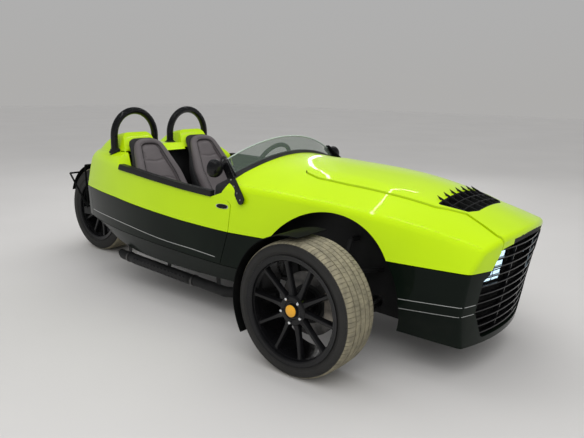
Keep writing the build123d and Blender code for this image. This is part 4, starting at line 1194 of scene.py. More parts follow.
@dataclass
class RoadWheel:
    """Tyre with a cut tread, spoked wheel, brake disc, lug nuts and blank cap.

    Profiles are rows of (distance outwards from the wheel's middle, radius).
    """

    label: str
    middle: Point
    radius: float
    width: float
    bead: float
    out: int
    face: float
    disc_at: float
    first_spoke: float
    first_nut: float
    axle: Sequence[Sequence[tuple[float, float]]]
    pitches: int = 92
    spokes: int = 10
    shoulder: float = 0.034
    crown: float = 0.0026
    bead_inset: float = 0.0109
    grooves: tuple[float, ...] = (-0.70, -0.235, 0.235, 0.70)
    groove: float = 0.0075
    groove_depth: float = 0.0068
    groove_slope: float = 0.0012
    hub_radius: float = 0.070
    lug_circle: float = 0.0575
    nut_size: float = 0.0078
    nuts: int = 5
    disc_radius: float = 0.155
    disc_inner: float = 0.090
    vanes: int = 36
    ribs: tuple[Sipes, ...] = (
        Sipes(0.10, 0.0022, 0.0050, 0.00), Sipes(0.62, 0.0015, 0.0040, 0.30),
        Sipes(-0.55, 0.0014, 0.0040, 0.15), Sipes(0.62, 0.0015, 0.0040, 0.55),
        Sipes(0.10, 0.0022, 0.0050, 0.45),
    )

    def __post_init__(self) -> None:
        """Work out what follows from the sizes."""
        self.body = f"wheel_{self.label}"
        self.half = self.width / 2
        self.flat = self.half - self.shoulder

    def _spin(self, clay: Clay, profile: Sequence[tuple[float, float]], turns: int) -> Clay:
        """Turn a profile round the axle."""
        return clay.spin([(self.out * x, r) for x, r in profile], turns)

    def _keep(self, clay: Clay, name: str, finish: Finish, crease: float = 32.0) -> bpy.types.Object:
        """Carry what was shaped to the axle, as a piece of this wheel."""
        return clay.moved(Matrix.Translation(self.middle)).piece(f"{self.label}_{name}", finish, self.body,
                                                                 crease)

    def _around(self, name: str, unit: Clay, finish: Finish, count: int, start: float = 0.0,
                crease: float = 25.0) -> bpy.types.Object:
        """Repeat a form round the axle, the first one turned by start degrees.

        Args:
            name: the piece's name.
            unit: the form.
            finish: its finish.
            count: how many.
            start: degrees to the first.
            crease: edges sharper than this many degrees stay hard.

        Returns:
            The piece.
        """
        return RULES.round_axle.grow(
            f"{self.label}_{name}", unit.mesh(name), finish, self.body, crease,
            Count=count, Start=math.radians(start), Middle=self.middle,
        )

    def _crown(self, x: float) -> float:
        """Radius of the tread's top at a distance across."""
        return self.radius - self.crown * min(1.0, (x / self.flat) ** 2)

    def _rows(self) -> list[tuple[float, float, int, float]]:
        """Rows across the tyre as (x, radius, rib or -1 in a groove, share of the sipe's depth).

        Returns:
            The rows, from the inner bead to the outer.
        """
        half, flat, bead, edge = self.half, self.flat, self.bead, self.radius - self.crown
        side = [
            (flat + 0.009, edge - 0.0016, 1.0), (flat + 0.017, edge - 0.0045, 1.0),
            (flat + 0.0235, edge - 0.0094, 0.8), (flat + 0.0285, edge - 0.0165, 0.35),
            (flat + 0.0305, edge - 0.0200, 0.0), (half - 0.0042, edge - 0.0212, 0.0),
            (half - 0.0038, edge - 0.0228, 0.0), (half - 0.0020, edge - 0.030, 0.0),
            (half - 0.0004, bead + 0.040, 0.0), (half, bead + 0.037, 0.0),
            (half - 0.0006, bead + 0.0335, 0.0), (half - 0.0020, bead + 0.0325, 0.0),
            (half - 0.0042, bead + 0.026, 0.0), (half - 0.0074, bead + 0.0176, 0.0),
            (half - 0.0100, bead + 0.009, 0.0), (half - self.bead_inset, bead + 0.0007, 0.0),
        ]
        rows: list[tuple[float, float, int, float]] = [(-x, r, 0, share) for x, r, share in reversed(side)]
        start, last = -flat, len(self.grooves)
        for rib in range(last + 1):
            stop = self.grooves[rib] * flat - self.groove / 2 if rib < last else flat
            rows += [(x, self._crown(x), rib, 1.0) for x in np.linspace(start, stop, 4)]
            if rib < last:
                low = self._crown(self.grooves[rib] * flat) - self.groove_depth
                start = stop + self.groove
                rows += [(stop + self.groove_slope, low, -1, 0.0), (start - self.groove_slope, low, -1, 0.0)]
        return rows + [(x, r, last, share) for x, r, share in side]

    def tyre(self) -> None:
        """The tyre, one sector of tread carried round the axle by a rule."""
        step = math.tau / self.pitches
        columns: list[list[Point]] = [[] for _ in range(7)]
        for x, r, rib, share in self._rows():
            cut = self.ribs[max(rib, 0)]
            turn = (cut.phase + cut.slant * x / self.flat * 0.5) * step if rib >= 0 else 0.5 * step
            if share == 0.0:
                turn = cut.phase * step
            half = cut.width / 2 / self.radius
            plain = step - 2 * half
            floor = r - cut.depth * share if rib >= 0 else r
            places = [(-half, r), (-half * 0.86, floor), (half * 0.86, floor), (half, r),
                      (half + plain * 0.36, r), (half + plain * 0.68, r), (step - half, r)]
            for column, (angle, radius) in zip(columns, places):
                a = turn + angle
                column.append((x, -radius * math.sin(a), radius * math.cos(a)))
        liner, inner = self.bead + 0.0004, self.half - self.bead_inset - 0.012
        ends = []
        for column in columns:
            low, high = (math.atan2(-column[k][1], column[k][2]) for k in (0, -1))
            ends.append([column[-1], (inner, -liner * math.sin(high), liner * math.cos(high)),
                         (-inner, -liner * math.sin(low), liner * math.cos(low)), column[0]])
        clay = Clay().loft(columns, caps=False, loop=False).loft(ends, caps=False, loop=False)
        made = self._around("tyre", clay, TREAD, self.pitches, crease=38.0)
        self._dress_walls(made.data)
        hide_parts(f"tyre_{self.label}")

    def _dress_walls(self, mesh: bpy.types.Mesh) -> None:
        """Give the tyre's side walls their darker rubber.

        Args:
            mesh: the tyre's mesh.
        """
        mesh.materials.append(WALL.material())
        edge, low = self.half - 0.0095, self.radius - 0.022
        for face in mesh.polygons:
            x, y, z = face.center - Vector(self.middle)
            if abs(x) > edge or math.hypot(y, z) < low:
                face.material_index = 1

    def _spoke(self) -> Clay:
        """One spoke with a slim face and deep sloping flanks, its rows measured in millimetres.

        Returns:
            The spoke, at the top of the wheel.
        """
        rows = [(0.052, -2, 15, 25, 34), (0.070, -8, 12.5, 21, 34), (0.092, -12, 9.5, 17, 33),
                (0.130, -11.5, 7.6, 15, 31), (0.175, -9, 7.0, 14.5, 30),
                (self.bead - 0.026, -5, 7.4, 15.5, 30), (self.bead - 0.012, -3, 9.5, 19, 31),
                (self.bead - 0.004, -2, 13, 25, 32)]
        rings = []
        for r, dip, face_half, back_half, depth in rows:
            top, f, b = self.face + dip * MM, face_half * MM, back_half * MM
            low = self.face - depth * MM
            flank = [(-b, low), (0.001 - b, low + 0.008), (-f - 0.001, top - 0.0022), (0.0012 - f, top),
                     (0.0, top + 0.0004)]
            rings.append([(self.out * a, t, r) for t, a in there_and_back(flank)])
        return Clay().loft(rings)

    def rim(self) -> None:
        """The wheel: barrel with a stepped lip, the ring that the spokes end on, and the spokes."""
        half, bead, face = self.half, self.bead, self.face
        lip = [(half, bead + 0.0165), (half - 0.0012, bead + 0.0172), (half - 0.0045, bead + 0.0170),
               (half - 0.0062, bead + 0.0158), (half - 0.0088, bead + 0.0035), (half - 0.0105, bead - 0.0003),
               (0.0, bead - 0.0012)]
        back = [(half - 0.013, bead - 0.0105), (half - 0.008, bead - 0.0085), (half - 0.0045, bead - 0.004),
                (half - 0.0030, bead + 0.004), (half - 0.0018, bead + 0.012)]
        ring = [(face - 0.005, bead - 0.0095), (face - 0.001, bead - 0.0100), (face - 0.0005, bead - 0.0120),
                (face - 0.002, bead - 0.0135), (face - 0.026, bead - 0.0135), (face - 0.028, bead - 0.0095)]
        barrel = self._spin(Clay(), [*there_and_back(lip), *((-x, r) for x, r in reversed(back)), *back], 120)
        made = self._keep(self._spin(barrel, ring, 120), "rim", GLOSS)
        self._around("spokes", self._spoke(), GLOSS, self.spokes, self.first_spoke)
        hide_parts(self.body)

    def hub(self) -> None:
        """Hub face, five nuts and a plain domed cap."""
        f, r, back = self.face, self.hub_radius, self.disc_at + 0.010
        hub = [(back, 0.0), (back, 0.073), (f - 0.036, 0.073), (f - 0.032, r), (f - 0.006, r),
               (f - 0.0015, r - 0.004), (f, r - 0.009), (f, 0.044), (f - 0.003, 0.041), (f - 0.003, 0.034),
               (f + 0.004, 0.0325), (f + 0.007, 0.0300), (f + 0.007, 0.0)]
        cap = [(f + 0.006, 0.0), (f + 0.006, 0.0285), (f + 0.0095, 0.0280), (f + 0.0125, 0.0245),
               (f + 0.0150, 0.016), (f + 0.0162, 0.008), (f + 0.0165, 0.0)]
        self._keep(self._spin(Clay(), hub, 64), "hub", GLOSS)
        self._keep(self._spin(Clay(), cap, 40), "cap", CAP, 40.0)
        corners = np.arange(6) * math.tau / 6
        nut = Clay().loft([[(self.out * (f + a), size * math.sin(t), self.lug_circle + size * math.cos(t))
                            for t in corners]
                           for a, size in ((-0.004, self.nut_size), (0.008, self.nut_size),
                                           (0.010, self.nut_size * 0.82))])
        self._around("nuts", nut, CHROME, self.nuts, self.first_nut)

    def disc(self) -> None:
        """Vented brake disc of two faces with vanes between them, and a dark bell."""
        at, r, low = self.disc_at, self.disc_radius, self.disc_inner
        faces = Clay()
        for a, b in ((-0.010, -0.003), (0.003, 0.010)):
            self._spin(faces, [(at + a, low), (at + a, r - 0.001), (at + a + 0.001, r), (at + b - 0.001, r),
                               (at + b, r - 0.001), (at + b, low)], 96)
        self._keep(faces, "disc", DISC)
        gap, thick = 0.0035, 0.002
        section = ((at + gap, -thick), (at + gap, thick), (at - gap, thick), (at - gap, -thick))
        vane = Clay().loft([[(self.out * x, y, q) for x, y in section] for q in (low + 0.002, r - 0.004)])
        self._around("vanes", vane, CAST, self.vanes)
        bell = [(at - 0.012, 0.040), (at - 0.012, 0.094), (at + 0.012, 0.094), (at + 0.014, 0.080),
                (at + 0.030, 0.076), (at + 0.030, 0.040)]
        self._keep(self._spin(Clay(), bell, 64), "bell", SATIN)

    def valve(self) -> None:
        """Valve stem, standing off the barrel between two spokes."""
        foot = np.array([self.out * (self.face - 0.012), 0.0, self.bead - 0.012])
        tip = foot + np.array([self.out * 0.010, 0.0, -0.028])
        stem = Clay().tube([foot, foot + (tip - foot) * 0.55, tip], [0.0042, 0.0038, 0.0030])
        turn = Matrix.Rotation(math.radians(self.first_spoke + 180.0 / self.spokes), 4, "X")
        self._keep(stem.moved(turn), "valve", SATIN)

    def shaft(self) -> None:
        """What the hub turns on behind the disc."""
        clay = Clay()
        for profile in self.axle:
            self._spin(clay, profile, 40)
        self._keep(clay, "shaft", STEEL)

    def build(self) -> None:
        """Build every piece of the wheel."""
        self.tyre()
        self.rim()
        self.hub()
        self.disc()
        self.valve()
        self.shaft()


def road_wheels() -> list[RoadWheel]:
    """The two front wheels and the rear one.

    Returns:
        The three wheels, not yet built.
    """
    spindle = ((-0.044, 0.0), (-0.044, 0.018), (-0.112, 0.018), (-0.112, 0.030), (-0.124, 0.030),
               (-0.124, 0.0))
    front = dict(radius=0.320, width=0.225, bead=0.2413, face=0.092, disc_at=-0.044, axle=(spindle,))
    sleeve = ((-0.152, 0.013), (-0.152, 0.030), (0.062, 0.030), (0.062, 0.013))
    collar = ((0.137, 0.013), (0.137, 0.028), (0.110, 0.034), (0.100, 0.034), (0.100, 0.013))
    return [
        RoadWheel("left", (0.75, FRONT_AXLE, 0.32), out=1, first_spoke=11.5, first_nut=65.5, **front),
        RoadWheel("right", (-0.75, FRONT_AXLE, 0.32), out=-1, first_spoke=24.5, first_nut=42.5, **front),
        RoadWheel("rear", (0.0, REAR_AXLE, 0.3285), radius=0.3285, width=0.285, bead=0.2286, out=-1,
                  face=0.112,
                  disc_at=-0.072, first_spoke=24.5, first_nut=42.5, axle=(sleeve, collar)),
    ]


# Sub-assemblies


def nodes_of(name: str) -> list[str]:
    """The node of this name, or both sides' nodes where a star stands for the side."""
    return [name.replace("*", side.tag) for side in Side] if "*" in name else [name]


@dataclass
class Shell:
    """Painted outer panels, cut and shut as on the real body."""

    lime: Sequence[str] = ("front_body", "rear_body", "bonnet")
    night: Sequence[str] = ("chin", "tail_panel", "quarter_panel_*", "side_panel_*", "sill_*")
    hump_height: float = 0.87
    heart_height: float = 0.42

    def darken_inside(self, skin: bpy.types.Object) -> None:
        """Give the faces that look at the car's middle line the bare inner finish.

        Args:
            skin: the panel.
        """
        skin.data.materials.append(INNER.material())
        roof = self.hump_height if skin.name.startswith("rear") else math.inf
        for face in skin.data.polygons:
            x, _, z = face.center
            if z < roof and face.normal.x * x + face.normal.z * (z - self.heart_height) < -0.01:
                face.material_index = 1

    def build(self) -> None:
        """Skin every painted panel."""
        for node in self.lime:
            self.darken_inside(smooth_copy(node, LIME))
        for name in self.night:
            for node in nodes_of(name):
                smooth_copy(node, NIGHT)


CARRIED = {
    "bonnet_vent": SATIN, "front_grille": GLOSS, "headlamp_*": LED, "tub": COARSE, "front_frame": SATIN,
    "engine_block": CAST, "tie_rods": STEEL, "steering_rack": CAST, "suspension_*": SATIN,
    "knuckle_*": CALIPER, "cycle_fender_*": WING, "exhaust_*": SATIN, "roll_hoop_*": GLOSS,
    "rear_frame": SATIN, "swingarm": SATIN, "rear_shock": SATIN, "rear_fender": WING,
    "tail_lamp_*": RED_LENS_AND_PAINTED_BUTTON_GLOW, "side_rail_*": SATIN, "windscreen": SMOKE, "screen_seal": COARSE,
    "screen_bracket_*": GLOSS, "mirror_*": GLOSS, "dashboard": COARSE, "steering_column": SATIN,
    "centre_console": COARSE,
}


@dataclass
class Carried:
    """CAD nodes that keep their own shape and take a finish; a lamp's glow faces forwards only."""

    glow_facing: float = -0.3

    def build(self) -> None:
        """Copy each node smooth, with its finish."""
        for name, finish in CARRIED.items():
            for node in nodes_of(name):
                mesh = smooth_copy(node, finish).data
                if finish is LED:
                    mesh.materials.append(INNER.material())
                    for face in mesh.polygons:
                        face.material_index = int(face.normal.y > self.glow_facing)


def points_of(mesh: bpy.types.Mesh) -> np.ndarray:
    """A mesh's points as rows.

    Args:
        mesh: the mesh.

    Returns:
        One row of three for each point.
    """
    flat = np.empty(len(mesh.vertices) * 3)
    mesh.vertices.foreach_get("co", flat)
    return flat.reshape(-1, 3)


def rounded(half_a: float, half_b: float, power: float, count: int = 44) -> list[tuple[float, float]]:
    """Points round an oval that nears a rectangle as the power grows.

    Args:
        half_a: half its width.
        half_b: half its height.
        power: how square it is.
        count: how many points.

    Returns:
        The points.
    """
    turns = np.arange(count) * math.tau / count
    bend = 2.0 / power
    return [(half_a * math.copysign(abs(math.cos(t)) ** bend, math.cos(t)),
             half_b * math.copysign(abs(math.sin(t)) ** bend, math.sin(t))) for t in turns]


@dataclass
class Stuffing:
    """Swells a closed form into a pad: voxels, cloth under pressure, a capped move and one subdivision."""

    cap: float = 0.008
    pressure: float = 4.0
    voxel: float = 0.006
    steps: int = 20

    def fill(self, clay: Clay, name: str, finish: Finish,
             seams: Sequence[np.ndarray] = ()) -> bpy.types.Object:
        """Make the pad.

        Args:
            clay: the closed form, a little smaller than the pad.
            name: the pad's name.
            finish: its trim.
            seams: paths along which the trim is drawn in.

        Returns:
            The pad, riding on the body.
        """
        obj = placed(name, clay.mesh(name))
        tidy(obj.data, 180.0)
        voxels = obj.modifiers.new("voxels", "REMESH")
        voxels.mode, voxels.voxel_size = "VOXEL", self.voxel
        mesh = plain_mesh(obj)
        obj.modifiers.remove(voxels)
        obj.data = mesh
        self._swell(obj)
        for seam in seams:
            self._draw_in(mesh, seam)
        subdivide(obj)
        obj.data.name = name
        dress(obj.data, finish)
        tidy(obj.data, 180.0)
        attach(obj, "body")
        return obj

    def _swell(self, obj: bpy.types.Object) -> None:
        """Run the cloth on the object's mesh and keep the capped move.

        Args:
            obj: the pad.
        """
        rest = points_of(obj.data)
        cloth = obj.modifiers.new("stuffing", "CLOTH")
        cloth.settings.use_pressure = True
        cloth.settings.uniform_pressure_force = self.pressure
        cloth.settings.effector_weights.gravity = 0.0
        scene = bpy.context.scene
        for step in range(1, self.steps + 1):
            scene.frame_set(step)
        moved = plain_mesh(obj)
        shift = points_of(moved) - rest
        obj.modifiers.remove(cloth)
        scene.frame_set(1)
        length = np.maximum(np.linalg.norm(shift, axis=1, keepdims=True), 1e-9)
        swelled = rest + shift * np.minimum(1.0, self.cap / length)
        obj.data.vertices.foreach_set("co", swelled.ravel())

    @staticmethod
    def _draw_in(mesh: bpy.types.Mesh, seam: np.ndarray, depth: float = 0.006, width: float = 0.007) -> None:
        """Press a seam's valley into the pad along a path.

        Args:
            mesh: the pad's mesh.
            seam: the seam's path.
            depth: how deep.
            width: how wide.
        """
        places = points_of(mesh)
        normals = np.empty(len(mesh.vertices) * 3)
        mesh.vertex_normals.foreach_get("vector", normals)
        gap = np.min(np.linalg.norm(places[:, None, :] - seam[None, :, :], axis=2), axis=1)
        press = depth * np.exp(-(gap / width) ** 2)
        mesh.vertices.foreach_set("co", (places - normals.reshape(-1, 3) * press[:, None]).ravel())


def mirrored(obj: bpy.types.Object, name: str) -> bpy.types.Object:
    """The piece's twin on the other side of the car.

    Args:
        obj: the piece.
        name: the twin's name.

    Returns:
        The twin.
    """
    mesh = obj.data.copy()
    mesh.name = name
    bm = bmesh.new()
    bm.from_mesh(mesh)
    for vert in bm.verts:
        vert.co.x = -vert.co.x
    bmesh.ops.reverse_faces(bm, faces=bm.faces)
    bm.to_mesh(mesh)
    bm.free()
    twin = placed(name, mesh)
    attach(twin, obj["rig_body"])
    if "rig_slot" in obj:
        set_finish(twin, obj["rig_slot"])
    return twin


def spot_mesh(places: Verts, facing: Verts, along: Verts, size: float = 1.0) -> bpy.types.Mesh:
    """Loose points with the attributes that the on-spots rule reads.

    Args:
        places: the points.
        facing: where each unit's +Z points.
        along: where each unit's +X points.
        size: their scale.

    Returns:
        The mesh.
    """
    made = bpy.data.meshes.new("spots")
    made.from_pydata([tuple(p) for p in places], [], [])
    for key, rows in (("facing", facing), ("along", along)):
        made.attributes.new(key, "FLOAT_VECTOR", "POINT").data.foreach_set("vector",
                                                                           np.asarray(rows, float).ravel())
    made.attributes.new("size", "FLOAT", "POINT").data.foreach_set("value", [size] * len(places))
    return made


def repeat_on(name: str, unit: Clay, spots: bpy.types.Mesh, finish: Finish,
              body: str = "body") -> bpy.types.Object:
    """Set a small shape on every spot and keep the result as one piece.

    Args:
        name: the piece's name.
        unit: the small shape.
        spots: the spots.
        finish: its finish.
        body: the body that carries it.

    Returns:
        The piece.
    """
    model = placed(f"{name}_unit", unit.mesh(f"{name}_unit"))
    made = RULES.on_spots.grow(name, spots, finish, body, 30.0, Unit=model)
    bpy.data.objects.remove(model)
    return made


def bolt_head(radius: float = 0.0065, height: float = 0.0045) -> Clay:
    """A domed hexagon-socket head that stands on Z.

    Args:
        radius: its radius.
        height: its height.

    Returns:
        The head.
    """
    rows = [(1.0, 0.0), (1.0, 0.45), (0.9, 0.8), (0.62, 1.0), (0.5, 1.0), (0.45, 0.45)]
    rings = [[(r * radius * math.cos(t), r * radius * math.sin(t), h * height)
              for t in np.arange(12) * math.tau / 12]
             for r, h in rows]
    return Clay().loft(rings)


@dataclass
class Seats:
    """Two bucket seats: hard shell, swelled insert and squab, rolled bolsters, piping and stitches."""

    middle: float = 0.249
    half: float = 0.186
    seam: float = 0.0022
    stitch: float = 0.0062
    lean: Point = (0.0, -0.837, 0.547)
    pieces: list[tuple[bpy.types.Object, float]] = field(default_factory=list)

    def _front(self, z: float) -> float:
        """Distance aft of the back's front face at a height."""
        return float(np.interp(z, (0.430, 0.500, 0.905, 0.946), (1.425, 1.440, 1.705, 1.745)))

    def _rear(self, z: float) -> float:
        """Distance aft of the back's rear face at a height."""
        return float(np.interp(z, (0.300, 0.838, 0.894, 0.946), (1.600, 1.732, 1.786, 1.800)))

    def _top(self, place: float) -> float:
        """Height of the squab at a distance aft."""
        return float(np.interp(place, (1.070, 1.110, 1.440), (0.424, 0.452, 0.417)))

    def _half(self, z: float) -> float:
        """Half the back's width at a height."""
        return float(np.interp(z, (0.70, 0.89, 0.93, 0.946), (self.half, 0.128, 0.112, 0.086)))

    def _back_pad(self) -> Clay:
        """The insert of the back.

        Returns:
            The closed form.
        """
        rows = [(0.450, 0.70, 0.35), (0.455, 0.88, 0.7), (0.466, 1.0, 1.0)]
        rows += [(z, 1.0, 1.0) for z in np.linspace(0.50, 0.88, 12)]
        rows += [(0.900, 0.93, 0.9), (0.910, 0.78, 0.6), (0.914, 0.60, 0.35)]
        rings = []
        for z, wide, thick in rows:
            hollow = 0.010 + 0.012 * math.sin(math.pi * (z - 0.45) / 0.47)
            middle = aft(self._front(z)) + hollow + 0.027
            rings.append([(self.middle + a, middle + b, z)
                          for a, b in rounded((self._half(z) - 0.048) * wide, 0.027 * thick, 3.2)])
        return Clay().loft(rings)

    def _squab_pad(self) -> Clay:
        """The insert of the squab.

        Returns:
            The closed form.
        """
        rows = [(1.108, 0.8, 0.4), (1.114, 0.93, 0.75), (1.126, 1.0, 1.0)]
        rows += [(p, 1.0, 1.0) for p in np.linspace(1.16, 1.44, 9)]
        rows += [(1.462, 0.95, 0.8), (1.470, 0.8, 0.4)]
        rings = []
        for place, wide, thick in rows:
            middle = self._top(place) - 0.014 - 0.027
            rings.append([(self.middle + a, aft(place), middle + b)
                          for a, b in rounded(0.140 * wide, 0.027 * thick, 3.2)])
        return Clay().loft(rings)

    def _shell(self) -> bpy.types.Object:
        """The hard back and base.

        Returns:
            The piece.
        """
        rings, upright = [], [(z, 1.0) for z in np.linspace(0.36, 0.90, 14)]
        for z, wide in [(0.302, 0.96), (0.310, 1.0), *upright, (0.925, 1.0), (0.938, 0.93), (0.944, 0.75)]:
            rear = self._rear(z)
            front = min(self._front(max(z, 0.43)) + 0.042, rear - 0.014)
            half = self._half(z) - 0.003
            rings.append([(self.middle + a, aft((front + rear) / 2) + b, z)
                          for a, b in rounded(half * wide, (rear - front) / 2, 4.0)])
        clay, rings = Clay().loft(rings), []
        for place, wide, drop in ((1.078, 0.92, 0.016), (1.086, 1.0, 0.006), (1.20, 1.0, 0.0),
                                  (1.44, 1.0, 0.0), (1.50, 1.0, 0.0), (1.506, 0.97, 0.008)):
            top = self._top(place) - 0.030 - drop
            low = 0.303 + drop
            rings.append([(self.middle + a, aft(place), (top + low) / 2 + b)
                          for a, b in rounded(0.184 * wide, (top - low) / 2, 7.0)])
        clay.loft(rings)
        clay.block((self.middle - 0.150, aft(1.120), 0.2725), (self.middle + 0.150, aft(1.480), 0.306), 0.004)
        return clay.piece("seat_left_shell", COARSE, crease=40.0)

    def _roll_paths(self) -> list[tuple[np.ndarray, np.ndarray, Point]]:
        """Path, radius and facing of the back's and the squab's bolster.

        Returns:
            Both bolsters.
        """
        back = [(0.152, 0.470, 0.031), (0.152, 0.560, 0.034), (0.152, 0.650, 0.034), (0.147, 0.715, 0.033),
                (0.126, 0.790, 0.030), (0.105, 0.860, 0.027), (0.086, 0.900, 0.025), (0.050, 0.918, 0.024),
                (0.0, 0.922, 0.024)]
        rows = there_and_back(back)
        path = curve_through([(self.middle + x, aft(self._front(z)) + r, z) for x, z, r in rows], 6)
        size = curve_through([(r, 0, 0) for _, _, r in rows], 6)[:, 0]
        squab = [(0.158, 1.455, 0.0225), (0.158, 1.350, 0.024), (0.158, 1.220, 0.024), (0.150, 1.145, 0.024),
                 (0.120, 1.108, 0.024), (0.060, 1.098, 0.024), (0.0, 1.096, 0.024)]
        rows = there_and_back(squab)
        low = curve_through([(self.middle + x, aft(p), self._top(p) + 0.010 - r) for x, p, r in rows], 6)
        flat = curve_through([(r, 0, 0) for _, _, r in rows], 6)[:, 0]
        return [(path, size, self.lean), (low, flat, (0.0, 0.0, 1.0))]

    def _dress_roll(self, label: str, path: np.ndarray, size: np.ndarray, facing: Point) -> None:
        """One bolster with piping at its inner edge and a row of stitches on it.

        Args:
            label: back or squab.
            path: the roll's middle line.
            size: its radii.
            facing: where its front faces.
        """
        count = len(path)
        taper = np.minimum(1.0, 0.55 + np.minimum(np.arange(count), np.arange(count)[::-1]) / 6.0)
        made = Clay().tube(path, size * taper, 22).piece(f"seat_left_{label}_bolster", TRIM, crease=60.0)
        subdivide(made)
        self.pieces.append((made, 0.85))
        front = np.array(facing)
        ahead = np.gradient(path, axis=0)
        ahead /= np.linalg.norm(ahead, axis=1, keepdims=True)
        inward = np.cross(ahead, front)
        inward *= np.sign(((np.mean(path, axis=0) - path) * inward).sum(axis=1, keepdims=True) + 1e-9)
        pipe = path + size[:, None] * (0.80 * inward + 0.62 * front)
        cord = Clay().tube(pipe[2:-2], self.seam, 8)
        self.pieces.append((cord.piece(f"seat_left_{label}_piping", SATIN, crease=60.0), -1.0))
        out = 0.50 * inward + 0.868 * front
        line = path + size[:, None] * out
        run = np.concatenate([[0.0], np.cumsum(np.linalg.norm(np.diff(line, axis=0), axis=1))])
        marks = np.arange(run[3], run[-4], self.stitch)
        places, outs, runs = (np.stack([np.interp(marks, run, rows[:, k]) for k in range(3)], axis=1)
                              for rows in (line, out, ahead))
        bend = [(-0.0019, 0, 0.0), (-0.0012, 0, 0.0005), (0.0012, 0, 0.0005), (0.0019, 0, 0.0)]
        unit = Clay().tube(bend, 0.00042, 5)
        stitches = repeat_on(f"seat_left_{label}_stitches", unit, spot_mesh(places, outs, runs), THREAD)
        self.pieces.append((stitches, -1.0))

    def build(self) -> None:
        """Build the left seat and mirror it to the right."""
        stuffing = Stuffing()
        arc = curve_through([(self.middle + x, aft(self._front(z)) + 0.014, z)
                             for x, z in ((-0.132, 0.665), (-0.07, 0.690), (0.0, 0.698), (0.07, 0.690),
                                          (0.132, 0.665))], 10)
        neck = curve_through([(self.middle + x, aft(self._front(z)) + 0.012, z)
                              for x, z in ((-0.085, 0.812), (0.0, 0.800), (0.085, 0.812))], 12)
        cross = [np.array([(self.middle + x, aft(p), self._top(p) - 0.012)
                           for x in np.linspace(-0.14, 0.14, 30)])
                 for p in (1.245, 1.360)]
        back = stuffing.fill(self._back_pad(), "seat_left_back_pad", TRIM, (arc, neck))
        squab = stuffing.fill(self._squab_pad(), "seat_left_squab_pad", TRIM, cross)
        self.pieces += [(back, 0.65), (squab, 0.65), (self._shell(), -1.0)]
        for label, (path, size, facing) in zip(("back", "squab"), self._roll_paths()):
            self._dress_roll(label, path, size, facing)
        for piece, fill in list(self.pieces):
            twin = mirrored(piece, piece.name.replace("left", "right"))
            self.pieces.append((twin, fill))
        for piece, fill in self.pieces:
            if fill > 0:
                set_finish(piece, "seat_grey")
        for side in Side:
            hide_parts(f"seat_{side.tag}")


@dataclass
class Skin:
    """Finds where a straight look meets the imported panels."""

    nodes: Sequence[str]

    def __post_init__(self) -> None:
        """Join the panels in one search tree."""
        joined = bmesh.new()
        for node in self.nodes:
            joined.from_mesh(frame["nodes"][node].data)
        self.tree = BVHTree.FromBMesh(joined)
        joined.free()

    def at(self, start: Point, ahead: Point) -> tuple[np.ndarray, np.ndarray] | None:
        """Place and normal of the first hit, or None."""
        place, normal, _, _ = self.tree.ray_cast(Vector(start), Vector(ahead))
        return None if place is None else (np.array(place), np.array(normal))

    def band(self, clay: Clay, starts: Verts, ahead: Point, width: float, rise: float = 0.0006) -> None:
        """Lay a thin flat band on the panels where the looks meet them.

        Args:
            clay: what takes the band.
            starts: where the looks start.
            ahead: which way they go.
            width: width of the band.
            rise: how far it stands off.
        """
        hits = [hit for hit in (self.at(tuple(start), ahead) for start in starts) if hit]
        if len(hits) < 3:
            return
        path = np.array([place for place, _ in hits])
        run = np.gradient(path, axis=0)
        rings = []
        for place, normal, along in zip(path, (n for _, n in hits), run):
            across = unit_vector(np.cross(along, normal)) * width / 2
            rings.append([place + across - normal * 0.0005, place + across + normal * rise,
                          place - across + normal * rise, place - across - normal * 0.0005])
        clay.loft(rings)


